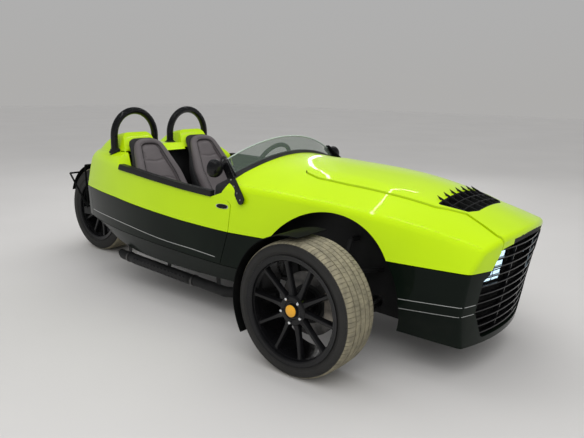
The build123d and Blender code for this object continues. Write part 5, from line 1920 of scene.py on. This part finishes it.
@dataclass
class SideMarks:
    """Pale bands painted along the creases as highlights, blank badge, strap bolts and mirror face on one
    flank.
    """

    side: Side
    long_line: Verts = ((0.745, 0.377), (0.928, 0.391), (1.172, 0.400), (1.518, 0.424), (1.793, 0.434),
                        (2.110, 0.435))
    nose_lines: Sequence[Verts] = (((-0.325, 0.356), (-0.500, 0.365), (-0.655, 0.372)),
                                   ((-0.325, 0.308), (-0.500, 0.318), (-0.655, 0.327)))
    badge: tuple[float, float] = (0.700, 0.665)
    badge_half: tuple[float, float] = (0.042, 0.013)

    def lines(self) -> None:
        """Thin pale bands laid along the creases of the dark panels: painted highlights where the creases
        catch the light.
        """
        s = self.side.value
        skin = Skin((f"side_panel_{self.side.tag}", "chin"))
        clay = Clay()
        for rows, width in ((self.long_line, 0.0034), *((r, 0.0026) for r in self.nose_lines)):
            path = curve_through([(s * 1.2, aft(p), z) for p, z in rows], 14)
            skin.band(clay, path, (-s, 0.0, 0.0), width)
        # The bands are pale paint on the creases of the dark panels: painted highlights.
        clay.piece(f"side_lines_{self.side.tag}", SILVER_AND_CREASE_HIGHLIGHT)

    def plate(self) -> None:
        """The blank oval badge with a bright rim."""
        s = self.side.value
        skin = Skin(("rear_body",))
        place, height = self.badge
        hit = skin.at((s * 1.2, aft(place), height), (-s, 0.0, 0.0))
        if not hit:
            return
        middle, normal = hit
        along = unit_vector(np.cross(normal, (0.0, 0.0, 1.0)))
        up = np.cross(along, normal)
        for name, finish, rows in (
                ("face", GLOSS, ((0.86, 0.0), (0.86, 0.0026), (0.6, 0.0031), (0.1, 0.0033))),
                ("rim", CHROME, ((1.0, -0.001), (1.0, 0.0022), (0.95, 0.0028), (0.88, 0.0022),
                                 (0.88, -0.001)))):
            rings = [[middle + along * a * share + up * b * share + normal * lift
                      for a, b in rounded(*self.badge_half, 2.4, 40)] for share, lift in rows]
            clay = Clay().loft(rings, caps=name == "face", around=name == "rim")
            clay.piece(f"badge_{name}_{self.side.tag}", finish)

    def strap_bolts(self) -> None:
        """Bolt heads down the screen's strap."""
        s = self.side.value
        foot = np.array((s * 0.562, aft(0.572), 0.713))
        head = np.array((s * 0.492, aft(0.767), 0.899))
        run = head - foot
        out = unit_vector(np.array((s, 0.0, 0.0)) - run * (s * run[0] / float(run @ run)))
        places = [foot + run * t + out * 0.008 for t in (0.0, 0.17, 0.34, 0.51, 1.0)]
        spots = spot_mesh(places, [out] * 5, [unit_vector(run)] * 5)
        repeat_on(f"strap_bolts_{self.side.tag}", bolt_head(0.0055, 0.0038), spots, STEEL)

    def glass(self) -> None:
        """The mirror's silvered face and its rim."""
        s = self.side.value
        turn = Matrix.Translation((s * 0.562, aft(0.772), 0.863)) @ Matrix.Rotation(math.radians(90), 4, "Z")
        face = Clay().spin([(0.0055, 0.0), (0.0055, 0.0455), (0.0068, 0.0455), (0.0070, 0.0)], 56)
        face.moved(turn).piece(f"mirror_glass_{self.side.tag}", MIRROR_GLASS)
        rim = Clay()
        rim.spin([(0.002, 0.0500), (0.0085, 0.0500), (0.0095, 0.0485), (0.0085, 0.0455), (0.002, 0.0455)], 56)
        rim.moved(turn).piece(f"mirror_rim_{self.side.tag}", GLOSS)

    def build(self) -> None:
        """Make all of them."""
        self.lines()
        self.plate()
        self.strap_bolts()
        self.glass()


@dataclass
class NoseFittings:
    """Radiator and shroud behind the slats, mesh under the bonnet vent and its raised tips."""

    core_half: float = 0.290
    core_low: float = 0.200
    core_high: float = 0.590
    core_aft: float = -0.560
    tubes: int = 44
    vent: Sequence[tuple[float, float]] = ((0.140, -0.552), (0.201, -0.526), (0.256, -0.393))
    pitch: float = 0.0115

    @staticmethod
    def _crown(x: float, place: float) -> float:
        """Height of the bonnet's top over the vent."""
        return float(np.interp(place, (-0.690, -0.500, -0.100),
                               (0.711, 0.768, 0.860))) - 0.024 * (x / 0.25) ** 2 + 0.006

    def radiator(self) -> None:
        """Core of upright tubes with folded fins between two tanks."""
        clay = Clay()
        front, back = aft(self.core_aft), aft(self.core_aft + 0.036)
        span = 2 * self.core_half / self.tubes
        for i in range(self.tubes + 1):
            x = -self.core_half + i * span
            clay.block((x - 0.0011, front, self.core_low), (x + 0.0011, back, self.core_high))
        for z in np.linspace(self.core_low + 0.004, self.core_high - 0.004, 60):
            clay.block((-self.core_half, front + 0.003, z - 0.0004),
                       (self.core_half, back - 0.003, z + 0.0004))
        clay.piece("radiator_core", INNER)
        tanks = Clay()
        for low, high in ((self.core_low - 0.030, self.core_low), (self.core_high, self.core_high + 0.024)):
            tanks.block((-self.core_half - 0.004, front - 0.006, low),
                        (self.core_half + 0.004, back + 0.006, high), 0.006)
        tanks.piece("radiator_tanks", SATIN)

    def shroud(self) -> None:
        """Dark funnel from behind the lamps to the radiator."""
        rings = []
        for place, half, low, high in ((-0.612, 0.385, 0.186, 0.622), (-0.590, 0.350, 0.188, 0.618),
                                       (-0.556, self.core_half + 0.006, 0.168, 0.616)):
            rings.append([(a, aft(place), (low + high) / 2 + b)
                          for a, b in rounded(half, (high - low) / 2, 7.0, 56)])
        outer = [[(x * 1.008, y, z + (0.003 if z > 0.4 else -0.003)) for x, y, z in ring] for ring in rings]
        Clay().loft(rings + outer[::-1], caps=False, around=True).piece("radiator_shroud", INNER)

    def vent_mesh(self) -> None:
        """Woven wire under the vent's fins, and the fins' rising tips."""
        rows, halves = [p for _, p in self.vent], [h - 0.006 for h, _ in self.vent]
        clay = Clay()
        front, back = rows[0] + 0.006, rows[-1] - 0.004
        for place in np.arange(front, back, self.pitch):
            half = float(np.interp(place, rows, halves))
            xs = np.linspace(-half, half, 9)
            clay.tube([(x, aft(place), self._crown(x, place) - 0.019) for x in xs], 0.0011, 4)
        for x in np.arange(-0.245, 0.2451, self.pitch):
            places = [p for p in np.linspace(front, back, 9) if float(np.interp(p, rows, halves)) > abs(x)]
            if len(places) > 1:
                clay.tube([(x, aft(p), self._crown(x, p) - 0.021) for p in places], 0.0011, 4)
        clay.piece("vent_wire", SATIN, "bonnet")
        tips = Clay()
        for i in range(7):
            x = (i - 3) * 2 * 0.256 / 7.6
            base = self._crown(x, -0.400)
            front = self._crown(x, -0.452)
            side_view = [(-0.452, front - 0.008), (-0.396, base - 0.008), (-0.366, base + 0.030),
                         (-0.404, base + 0.013), (-0.452, front + 0.001)]
            tips.loft([[(x + way * 0.0034 * (1.0 if z < base + 0.01 else 0.45), aft(p), z)
                        for p, z in side_view] for way in (-1, 1)])
        tips.piece("vent_tips", GLOSS, "bonnet")

    def build(self) -> None:
        """Make all of them."""
        self.radiator()
        self.shroud()
        self.vent_mesh()


@dataclass
class Cockpit:
    """Gauge, display, switches, vents, shifter boot, steering wheel, pedals and belts."""

    driver: float = 0.249
    dial_radius: float = 0.064
    wheel_radius: float = 0.165
    wheel_tilt: float = 25.0
    stitches: int = 84

    @staticmethod
    def _outwards(facing: np.ndarray, angles: Sequence[float]) -> np.ndarray:
        """Directions round an axis that faces so, by their angles from +X.

        Args:
            facing: the axis.
            angles: the angles in radians.

        Returns:
            One row for each.
        """
        side = np.array((1.0, 0.0, 0.0))
        over = np.cross(facing, side)
        return np.array([math.cos(a) * side + math.sin(a) * over for a in angles])

    def gauge(self) -> None:
        """The round gauge in the dash's hood: bezel, ticks, needle."""
        r = self.dial_radius
        facing = unit_vector((0.0, 0.055, -0.024))
        middle = np.array((self.driver, aft(0.800), 0.808)) + facing * 0.0006
        shell = Clay()
        shell.turned([(0.0, r + 0.006), (0.010, r + 0.006), (0.013, r + 0.003), (0.012, r - 0.003),
                      (0.003, r - 0.005), (0.0, r - 0.005)], middle, facing, 64)
        shell.turned([(0.0, 0.0), (0.0, r - 0.004), (0.002, r - 0.004), (0.0022, 0.0)], middle, facing, 64)
        shell.piece("gauge_bezel", GLOSS)
        around = np.radians(np.linspace(-225, 45, 46))
        spokes = self._outwards(facing, around)
        tick = Clay().block((-0.0035, -0.0007, 0.0), (0.0035, 0.0007, 0.0005))
        spots = spot_mesh(middle + facing * 0.0021 + spokes * (r - 0.012), [facing] * 46, spokes)
        repeat_on("gauge_ticks", tick, spots, SILVER_AND_CREASE_HIGHLIGHT)
        hand = Clay()
        way = self._outwards(facing, [math.radians(-150)])[0]
        across = np.cross(facing, way)
        rings = [[middle + facing * 0.004 + way * a + across * b * w + facing * c
                  for w, c in ((-1, 0.0), (1, 0.0), (1, 0.0012), (-1, 0.0012))]
                 for a, b in ((-0.010, 0.0022), (0.0, 0.0020), (r - 0.016, 0.0007))]
        hand.loft(rings)
        hand.turned([(0.002, 0.0), (0.002, 0.008), (0.0065, 0.007), (0.0075, 0.0)], middle, facing, 24)
        # The needle wears a glowing finish though it is no lamp: a painted glow.
        hand.piece("gauge_needle", NEEDLE_PAINTED_GLOW)

    def dash(self) -> None:
        """Blank display, toggles, glove lid, air vents."""
        face = aft(0.788)
        frame_clay = Clay().block((-0.088, face - 0.004, 0.655), (0.088, face + 0.014, 0.757), 0.005)
        frame_clay.piece("display_frame", GLOSS)
        glass = Clay().block((-0.079, face + 0.0135, 0.664), (0.079, face + 0.0149, 0.748), 0.0006)
        glass.piece("display_glass", SCREEN)
        lid = Clay()
        lid.block((-0.400, face - 0.006, 0.660), (-0.150, face + 0.003, 0.752), 0.004)
        lid.block((-0.300, face + 0.002, 0.736), (-0.250, face + 0.009, 0.744), 0.002)
        lid.piece("glove_lid", SATIN)
        toggle = Clay().turned([(0.0, 0.0075), (0.003, 0.0075), (0.004, 0.006), (0.004, 0.003), (0.0, 0.003)],
                               (0, 0, 0), (0, 0, 1), 16)
        toggle.turned([(0.002, 0.0), (0.002, 0.0022), (0.016, 0.0032), (0.018, 0.002), (0.018, 0.0)],
                      (0, 0, 0), unit_vector((0.35, 0.0, 1.0)), 12)
        xs = np.arange(-3, 4) * 0.023
        spots = spot_mesh([(x, face - 0.002, 0.640) for x in xs], [(0, 1, 0)] * 7, [(0, 0, 1)] * 7)
        repeat_on("dash_toggles", toggle, spots, CHROME)
        vents = Clay()
        radius, z = 0.036, 0.708
        for x in (-0.462, 0.470):
            vents.turned([(-0.004, radius), (0.006, radius), (0.009, radius - 0.003), (0.006, radius - 0.006),
                          (-0.004, radius - 0.007)], (x, face, z), (0, 1, 0), 40)
            for k in range(-3, 4):
                rise = k * 0.008
                half = math.sqrt((radius - 0.006) ** 2 - rise ** 2)
                vents.block((x - half, face - 0.003, z + rise - 0.0011),
                            (x + half, face + 0.005, z + rise + 0.0011))
            vents.block((x - 0.0013, face - 0.002, z - radius + 0.008),
                        (x + 0.0013, face + 0.006, z + radius - 0.008))
        vents.piece("dash_vents", GLOSS)

    def tunnel(self) -> None:
        """Pleated boot, knob cap and cup rings on the tunnel."""
        foot = np.array((0.0, aft(0.9585), 0.497))
        axis = unit_vector((0.0, -0.015, 0.110))
        Clay().turned([(-0.006, 0.037), (0.002, 0.036), (0.008, 0.030), (0.013, 0.0325), (0.019, 0.0255),
                       (0.025, 0.028), (0.031, 0.021), (0.037, 0.023), (0.043, 0.0155), (0.052, 0.0135),
                       (0.058, 0.0095), (-0.006, 0.009)],
                      foot, axis, 40).piece("shift_boot", LEATHER)
        trim = Clay()
        trim.turned([(-0.004, 0.0405), (0.003, 0.0405), (0.005, 0.0385), (0.003, 0.0355), (-0.004, 0.0355)],
                    foot, (0.0, 0.05, 1.0), 48)
        for place, height in ((1.105, 0.4905), (1.205, 0.4855)):
            trim.turned([(-0.003, 0.037), (0.003, 0.037), (0.0045, 0.0355), (0.003, 0.034), (-0.003, 0.034)],
                        (0.0, aft(place), height), (0.0, 0.05, 1.0), 40)
        trim.piece("tunnel_rings", CAST)
        knob = Clay()
        arc = np.radians(np.linspace(-55, 90, 12))
        knob.turned([(0.0246 * math.sin(a), 0.0246 * math.cos(a)) for a in arc[:-1]] + [(0.0246, 0.0)],
                    (0.0, aft(0.944), 0.600), axis, 32)
        knob.piece("shift_knob", GLOSS)

    def steering(self) -> None:
        """Stitched rim, three spokes, boss and shaft."""
        tilt = math.radians(self.wheel_tilt)
        facing = np.array((0.0, math.cos(tilt), math.sin(tilt)))
        middle = np.array((self.driver, aft(1.050), 0.778))
        r = self.wheel_radius
        rim = Clay().turned([(0.0142 * math.cos(a), r + 0.0142 * math.sin(a))
                             for a in np.arange(16) * math.tau / 16],
                            middle, facing, 96)
        made = rim.piece("steering_rim", LEATHER, "steering_wheel", 60.0)
        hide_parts("steering_wheel")
        down = np.cross(facing, (1.0, 0.0, 0.0))
        metal = Clay()
        for way in (np.array((1.0, 0.0, 0.0)), np.array((-1.0, 0.0, 0.0)), down):
            across = np.cross(facing, way)
            rings = []
            for along, half, lift in ((0.030, 0.021, -0.012), (0.060, 0.016, -0.011), (0.110, 0.012, -0.007),
                                      (0.145, 0.013, -0.003), (r - 0.006, 0.020, -0.001)):
                rings.append([middle + way * along + across * b + facing * (lift + c)
                              for b, c in ((-half, -0.002), (half, -0.002), (half, 0.001),
                                           (half - 0.002, 0.002), (2e-3 - half, 0.002), (-half, 0.001))])
            metal.loft(rings)
        metal.turned([(-0.045, 0.0), (-0.045, 0.026), (-0.016, 0.028), (-0.012, 0.042), (-0.004, 0.042),
                      (0.002, 0.037), (0.004, 0.034), (0.004, 0.0)], middle, facing, 48)
        metal.turned([(-0.090, 0.0), (-0.090, 0.010), (-0.044, 0.010), (-0.044, 0.0)], middle, facing, 24)
        metal.piece("steering_spokes", SATIN, "steering_wheel")
        Clay().turned([(0.0035, 0.033), (0.0065, 0.032), (0.0065, 0.0295), (0.0035, 0.0295)], middle, facing,
                      48).piece("steering_boss_ring", CAST, "steering_wheel")
        angles = np.arange(self.stitches) * math.tau / self.stitches
        out = self._outwards(facing, angles)
        stitch = Clay().block((-0.0026, -0.0006, -0.0004), (0.0026, 0.0006, 0.0007))
        spots = spot_mesh(middle + out * (r - 0.0142), -out,
                          [unit_vector(np.cross(facing, o) + 0.6 * facing) for o in out])
        repeat_on("steering_stitches", stitch, spots, THREAD, "steering_wheel")

    def pedals(self) -> None:
        """Throttle, brake and foot rest with ribbed pads."""
        arms, pads, lean = Clay(), Clay(), 0.020
        for x, half, low, high in ((0.150, 0.022, 0.300, 0.400), (0.238, 0.036, 0.345, 0.405),
                                   (0.345, 0.034, 0.300, 0.420)):
            pads.loft([[(x - half, aft(0.728) + lean * t, z), (x + half, aft(0.728) + lean * t, z),
                        (x + half, aft(0.736) + lean * t, z), (x - half, aft(0.736) + lean * t, z)]
                       for t, z in ((1.0, low), (0.0, high))])
            for z in np.arange(low + 0.010, high - 0.004, 0.011):
                y = aft(0.736) + lean * (high - z) / (high - low)
                pads.block((x - half + 0.004, y - 0.001, z), (x + half - 0.004, y + 0.003, z + 0.004))
            arms.tube(curve_through([(x, aft(0.730), (low + high) / 2), (x, aft(0.716), high),
                                     (x, aft(0.712), 0.52), (x, aft(0.716), 0.60)], 6), 0.007, 10)
        pads.piece("pedal_pads", CAST)
        arms.piece("pedal_arms", SATIN)

    def belts(self) -> None:
        """Shoulder belts at rest beside the seats, their guides and buckles."""
        webbing, metal, button = Clay(), Clay(), Clay()
        for side in Side:
            s = side.value
            path = curve_through([(s * 0.457, aft(1.668), 0.722), (s * 0.455, aft(1.655), 0.680),
                                  (s * 0.452, aft(1.610), 0.580), (s * 0.447, aft(1.560), 0.440),
                                  (s * 0.442, aft(1.530), 0.330)], 8)
            run = np.gradient(path, axis=0)
            rings = []
            for place, along in zip(path, run):
                wide = unit_vector(np.cross(along, (1.0, 0.0, 0.0))) * 0.023
                thin = np.array((0.0009, 0.0, 0.0))
                rings.append([place + wide + thin, place + wide - thin, place - wide - thin,
                              place - wide + thin])
            webbing.loft(rings)
            metal.turned([(-0.004, 0.030), (0.002, 0.030), (0.004, 0.027), (0.004, 0.010), (-0.004, 0.010)],
                         (s * 0.461, aft(1.672), 0.734), (-s, 0.0, 0.0), 28)
            metal.block((s * 0.056, aft(1.470), 0.440), (s * 0.070, aft(1.505), 0.512), 0.003)
            webbing.block((s * 0.060, aft(1.478), 0.330), (s * 0.064, aft(1.497), 0.445))
            button.block((s * 0.0575, aft(1.477), 0.508), (s * 0.0685, aft(1.498), 0.5150), 0.001)
        webbing.piece("belt_webbing", WEBBING)
        metal.piece("belt_guides", SATIN)
        # The buttons wear the red lamp glow and shine though they are no lamps: a painted glow.
        button.piece("buckle_buttons", RED_LENS_AND_PAINTED_BUTTON_GLOW)

    def build(self) -> None:
        """Make all of them."""
        self.gauge()
        self.dash()
        self.tunnel()
        self.steering()
        self.pedals()
        self.belts()


@dataclass
class ScreenTrim:
    """The low screen's top edge painted pale as a highlight, its black ends and the hoops' collars."""

    half: float = 0.478
    top_arc: float = 1.1026
    top_heart: float = -0.0886
    bow: float = 0.947
    foot: float = 0.628
    foot_height: float = 0.904
    rake: float = 38.0
    hoop: float = 0.240
    hoop_half: float = 0.169
    hoop_aft: float = 1.880
    reach: float = 0.036

    def _edge(self, x: float, drop: float = 0.0) -> Point:
        """A point on the screen's top edge, or so far under it.

        Args:
            x: distance across.
            drop: how far under the edge.

        Returns:
            The point.
        """
        z = self.top_heart + math.sqrt(self.top_arc ** 2 - x * x) - drop
        y = aft(self.foot) + self.bow - math.sqrt(self.bow ** 2 - x * x)
        return (x, y + (z - self.foot_height) * math.tan(math.radians(self.rake)) + 0.003, z)

    def build(self) -> None:
        """Make the edges and collars."""
        # A pale tube along the screen's top: a painted highlight of the light caught in the glass edge.
        top = Clay().tube([self._edge(x) for x in np.linspace(-self.half, self.half, 60)], 0.0040, 10)
        top.piece("screen_top_edge", SCREEN_EDGE_HIGHLIGHT, crease=60.0)
        ends = Clay()
        for side in Side:
            x = side.value * self.half
            ends.tube([self._edge(x, d) for d in np.linspace(-0.001, 0.085, 8)], 0.0065, 12)
        ends.piece("screen_end_edges", GLOSS, crease=60.0)
        skin = Skin(("rear_body",))
        collars = Clay()
        for x in (-self.hoop - self.hoop_half, self.hoop_half - self.hoop,
                  self.hoop - self.hoop_half, self.hoop + self.hoop_half):
            looks = [skin.at((x + a, aft(self.hoop_aft) + b, 1.4), (0.0, 0.0, -1.0))
                     for a, b in ((-self.reach, 0.0), (self.reach, 0.0), (0.0, -self.reach),
                                  (0.0, self.reach))]
            hits = [hit for hit in looks if hit]
            if hits:
                place = (x, aft(self.hoop_aft), float(np.mean([spot[2] for spot, _ in hits])))
                normal = np.mean([n for _, n in hits], axis=0)
                collars.turned([(-0.008, 0.0245), (-0.008, 0.040), (0.001, 0.040), (0.004, 0.036),
                                (0.006, 0.030), (0.014, 0.0275), (0.015, 0.0245)], place,
                               unit_vector(normal + (0.0, 0.0, 1.2)), 40)
        collars.piece("hoop_collars", SATIN)


@dataclass
class Springs:
    """Wound springs on the front struts and the rear one."""

    def build(self) -> None:
        """Wind them."""
        for side in Side:
            low = np.array((side.value * 0.560, FRONT_AXLE, 0.199))
            high = np.array((side.value * 0.372, FRONT_AXLE, 0.560))
            self._wind(f"spring_{side.tag}", low, high, 0.33, 0.80, 0.0455, 7.5)
        self._wind("spring_rear", np.array((0.0, aft(2.150), 0.369)), np.array((0.0, aft(2.060), 0.5835)),
                   0.20, 0.79, 0.0405, 5.5)

    @staticmethod
    def _wind(name: str, low: np.ndarray, high: np.ndarray, start: float, end: float, radius: float,
              turns: float) -> None:
        """Wind one between two shares of its strut.

        Args:
            name: the piece's name.
            low: the strut's foot.
            high: its head.
            start: share of the strut under the spring.
            end: share where the spring ends.
            radius: the spring's radius.
            turns: turns of wire.
        """
        run = high - low
        lean = Vector((0.0, 0.0, 1.0)).rotation_difference(Vector(run)).to_euler()
        RULES.coil.grow(name, bpy.data.meshes.new(name), DISC, "body", 60.0, Turns=turns, Radius=radius,
                        Height=float(np.linalg.norm(run)) * (end - start), Wire=0.0062,
                        Foot=tuple(float(v) for v in low + run * start), Lean=tuple(lean))


@dataclass
class TailDress:
    """Lamp bezels, hugger bolts, exhaust shields and clamps."""

    pipe: tuple[float, float, float] = (0.490, 0.142, 0.188)

    def lamps(self) -> None:
        """A dark bezel and two red lit inner rings round each lens."""
        bezel, ring = Clay(), Clay()
        for side in Side:
            place = (side.value * 0.300, aft(2.200), 0.700)
            bezel.turned([(-0.006, 0.0465), (-0.006, 0.0560), (0.006, 0.0560), (0.011, 0.0530),
                          (0.011, 0.0490), (0.004, 0.0465)], place, (0.0, 1.0, 0.0), 56)
            for radius in (0.030, 0.016):
                ring.turned([(0.020, radius - 0.0012), (0.020, radius + 0.0012), (0.0232, radius + 0.0008),
                             (0.0232, radius - 0.0008)], place, (0.0, 1.0, 0.0), 48)
        bezel.piece("tail_bezels", GLOSS)
        ring.piece("tail_rings", RED_LENS_AND_PAINTED_BUTTON_GLOW)

    def bolts(self) -> None:
        """Bolt heads where the stays hold the hugger."""
        places, facing = [], []
        for x in (-0.1265, 0.1265):
            for angle in np.radians((50, 88)):
                out = np.array((0.0, math.cos(angle), math.sin(angle)))
                places.append(np.array((x, REAR_AXLE, 0.3285)) + out * 0.3563)
                facing.append(out)
        repeat_on("hugger_bolts", bolt_head(), spot_mesh(places, facing, [(1, 0, 0)] * len(places)), STEEL)

    def shields(self) -> None:
        """Louvred shields and two clamps on each side pipe."""
        x, low, high = self.pipe
        for side in Side:
            s = side.value
            start, end = np.array((s * x, aft(0.760), low)), np.array((s * x, aft(1.740), high))
            run = unit_vector(end - start)
            up = unit_vector(np.cross(run, (s, 0.0, 0.0)))
            up *= math.copysign(1.0, up[2])
            side_way = np.array((float(s), 0.0, 0.0))
            rings = []
            ways = [math.cos(a) * side_way + math.sin(a) * up for a in np.radians(np.linspace(-70, 62, 15))]
            for share in np.linspace(0.30, 0.86, 24):
                middle = start + (end - start) * share
                radius = 0.0355 - 0.002 * (abs(share - 0.58) > 0.26)
                rings.append([middle + way * radius for way in ways]
                             + [middle + way * (radius - 0.0015) for way in ways[::-1]])
            Clay().loft(rings).piece(f"pipe_shield_{side.tag}", SATIN)
            places, facing = [], []
            for share in np.linspace(0.34, 0.82, 15):
                for a in np.radians((-28.0, 22.0)):
                    out = math.cos(a) * side_way + math.sin(a) * up
                    places.append(start + (end - start) * share + out * 0.0353)
                    facing.append(out)
            slot = Clay().loft([[(a * k, b * k, h) for a, b in rounded(0.012, 0.0042, 2.2, 16)]
                                for k, h in ((1.0, -0.001), (1.0, 0.0008), (0.8, 0.0024), (0.4, 0.0030))])
            repeat_on(f"pipe_louvres_{side.tag}", slot, spot_mesh(places, facing, [run] * len(places)), GLOSS)
            clamp = Clay()
            for share in (0.27, 0.90):
                clamp.turned([(-0.007, 0.0312), (-0.007, 0.0345), (0.007, 0.0345), (0.007, 0.0312)],
                             start + (end - start) * share, run, 48)
            clamp.piece(f"pipe_clamps_{side.tag}", DISC)

    def build(self) -> None:
        """Make all of them."""
        self.lamps()
        self.bolts()
        self.shields()


@dataclass
class EngineDress:
    """What stands on the engine under the bonnet: cover, intake, battery, hoses."""

    top: float = 0.700

    def cover(self) -> None:
        """Ribbed cam cover with four coils, an oil cap and its bolts."""
        z = self.top
        clay = Clay()
        clay.block((-0.200, aft(-0.060), z - 0.002), (0.200, aft(0.105), z + 0.010), 0.004)
        clay.block((-0.192, aft(-0.050), z + 0.008), (0.192, aft(0.095), z + 0.052), 0.012)
        for y in np.linspace(-0.035, 0.080, 6):
            clay.block((-0.180, aft(y) - 0.002, z + 0.051), (0.180, aft(y) + 0.002, z + 0.056), 0.001)
        for side in (-1, 1):
            for y in np.linspace(-0.06, 0.40, 12):
                clay.block((side * 0.224, aft(y), 0.260), (side * 0.231, aft(y) + 0.008, 0.680), 0.002)
        clay.piece("engine_cover", CAST)
        coils = Clay()
        for x in (-0.135, -0.045, 0.045, 0.135):
            coils.block((x - 0.016, aft(0.000), z + 0.055), (x + 0.016, aft(0.048), z + 0.074), 0.005)
            coils.tube(curve_through([(x, aft(0.044), z + 0.066), (x, aft(0.085), z + 0.068),
                                      (x - 0.02, aft(0.118), z + 0.050)], 6),
                       0.0045, 8)
        coils.turned([(0.050, 0.0), (0.050, 0.024), (0.066, 0.026), (0.072, 0.022), (0.073, 0.0)],
                     (-0.165, aft(0.060), z), (0, 0, 1), 24)
        coils.piece("engine_coils", SATIN)
        rows = [(x, y) for x in (-0.196, -0.098, 0.0, 0.098, 0.196) for y in (-0.0555, 0.1005)]
        spots = spot_mesh([(x, aft(y), z + 0.0095) for x, y in rows], [(0, 0, 1)] * 10, [(1, 0, 0)] * 10)
        repeat_on("engine_bolts", bolt_head(0.0055, 0.006), spots, STEEL)

    def intake(self) -> None:
        """Plenum with four runners and its throttle hose."""
        z = self.top
        clay = Clay()
        clay.turned([(-0.175, 0.0), (-0.175, 0.030), (-0.165, 0.040), (0.165, 0.040), (0.175, 0.030),
                     (0.175, 0.0)],
                    (0.0, aft(0.235), z + 0.052), (1, 0, 0), 32)
        for x in (-0.135, -0.045, 0.045, 0.135):
            clay.tube(curve_through([(x, aft(0.215), z + 0.060), (x, aft(0.165), z + 0.064),
                                     (x, aft(0.125), z + 0.040), (x, aft(0.106), z + 0.020)], 6), 0.0185, 16)
        clay.piece("intake_plenum", CAST)
        box = Clay()
        box.block((-0.215, aft(0.300), z + 0.001), (-0.040, aft(0.420), z + 0.078), 0.014)
        for k in range(5):
            box.block((-0.200 + k * 0.034, aft(0.310), z + 0.077),
                      (-0.186 + k * 0.034, aft(0.410), z + 0.082), 0.002)
        box.tube(curve_through([(-0.128, aft(0.312), z + 0.045), (-0.150, aft(0.285), z + 0.052),
                                (-0.172, aft(0.245), z + 0.052)], 8), 0.027, 20)
        box.piece("air_box", COARSE)
        cell = Clay()
        cell.block((0.030, aft(0.300), z + 0.001), (0.200, aft(0.420), z + 0.070), 0.005)
        cell.block((0.026, aft(0.296), z + 0.060), (0.204, aft(0.424), z + 0.076), 0.004)
        cell.piece("battery_case", COARSE)
        posts = Clay()
        for x in (0.055, 0.175):
            posts.turned([(0.070, 0.0), (0.070, 0.009), (0.086, 0.008), (0.086, 0.0)], (x, aft(0.325), z),
                         (0, 0, 1), 20)
        posts.piece("battery_posts", STEEL)

    def hoses(self) -> None:
        """Water hoses between the radiator's tanks and the engine."""
        clay = Clay()
        for points in (((0.200, aft(-0.522), 0.602), (0.205, aft(-0.430), 0.604), (0.190, aft(-0.250), 0.640),
                        (0.150, aft(-0.130), 0.640), (0.150, aft(-0.092), 0.636)),
                       ((-0.200, aft(-0.522), 0.185), (-0.205, aft(-0.420), 0.200),
                        (-0.190, aft(-0.250), 0.270), (-0.150, aft(-0.130), 0.300),
                        (-0.150, aft(-0.092), 0.300))):
            clay.tube(curve_through(points), 0.019, 18)
        clay.piece("water_hoses", COARSE)
        clamp = Clay()
        for place, towards in (((0.200, aft(-0.505), 0.602), (0, 1, 0)),
                               ((0.150, aft(-0.108), 0.637), (0, 1, 0)),
                               ((-0.200, aft(-0.505), 0.187), (0, 1, 0)),
                               ((-0.150, aft(-0.108), 0.300), (0, 1, 0))):
            clamp.turned([(-0.006, 0.0190), (-0.006, 0.0215), (0.006, 0.0215), (0.006, 0.0190)], place,
                         towards, 32)
        clamp.piece("hose_clamps", STEEL)

    def build(self) -> None:
        """Make all of them."""
        self.cover()
        self.intake()
        self.hoses()


def box_as_lists() -> list[list[float]]:
    """The whole object's box as plain lists."""
    return [[float(v) for v in corner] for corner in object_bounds()]


def main(cad_box: list[list[float]]) -> None:
    """Build the scene in order.

    Args:
        cad_box: the box of the CAD model alone; not used.
    """
    logging.basicConfig(level=logging.INFO, format="%(name)s %(message)s")
    for part in (Studio(), Shell(), Carried(), *road_wheels(), Seats(), NoseFittings(),
                 *(SideMarks(side) for side in Side), Cockpit(), ScreenTrim(), Springs(), TailDress(),
                 EngineDress()):
        part.build()
        log.info("%s done", type(part).__name__)


if __name__ == "__main__":
    main(box_as_lists())
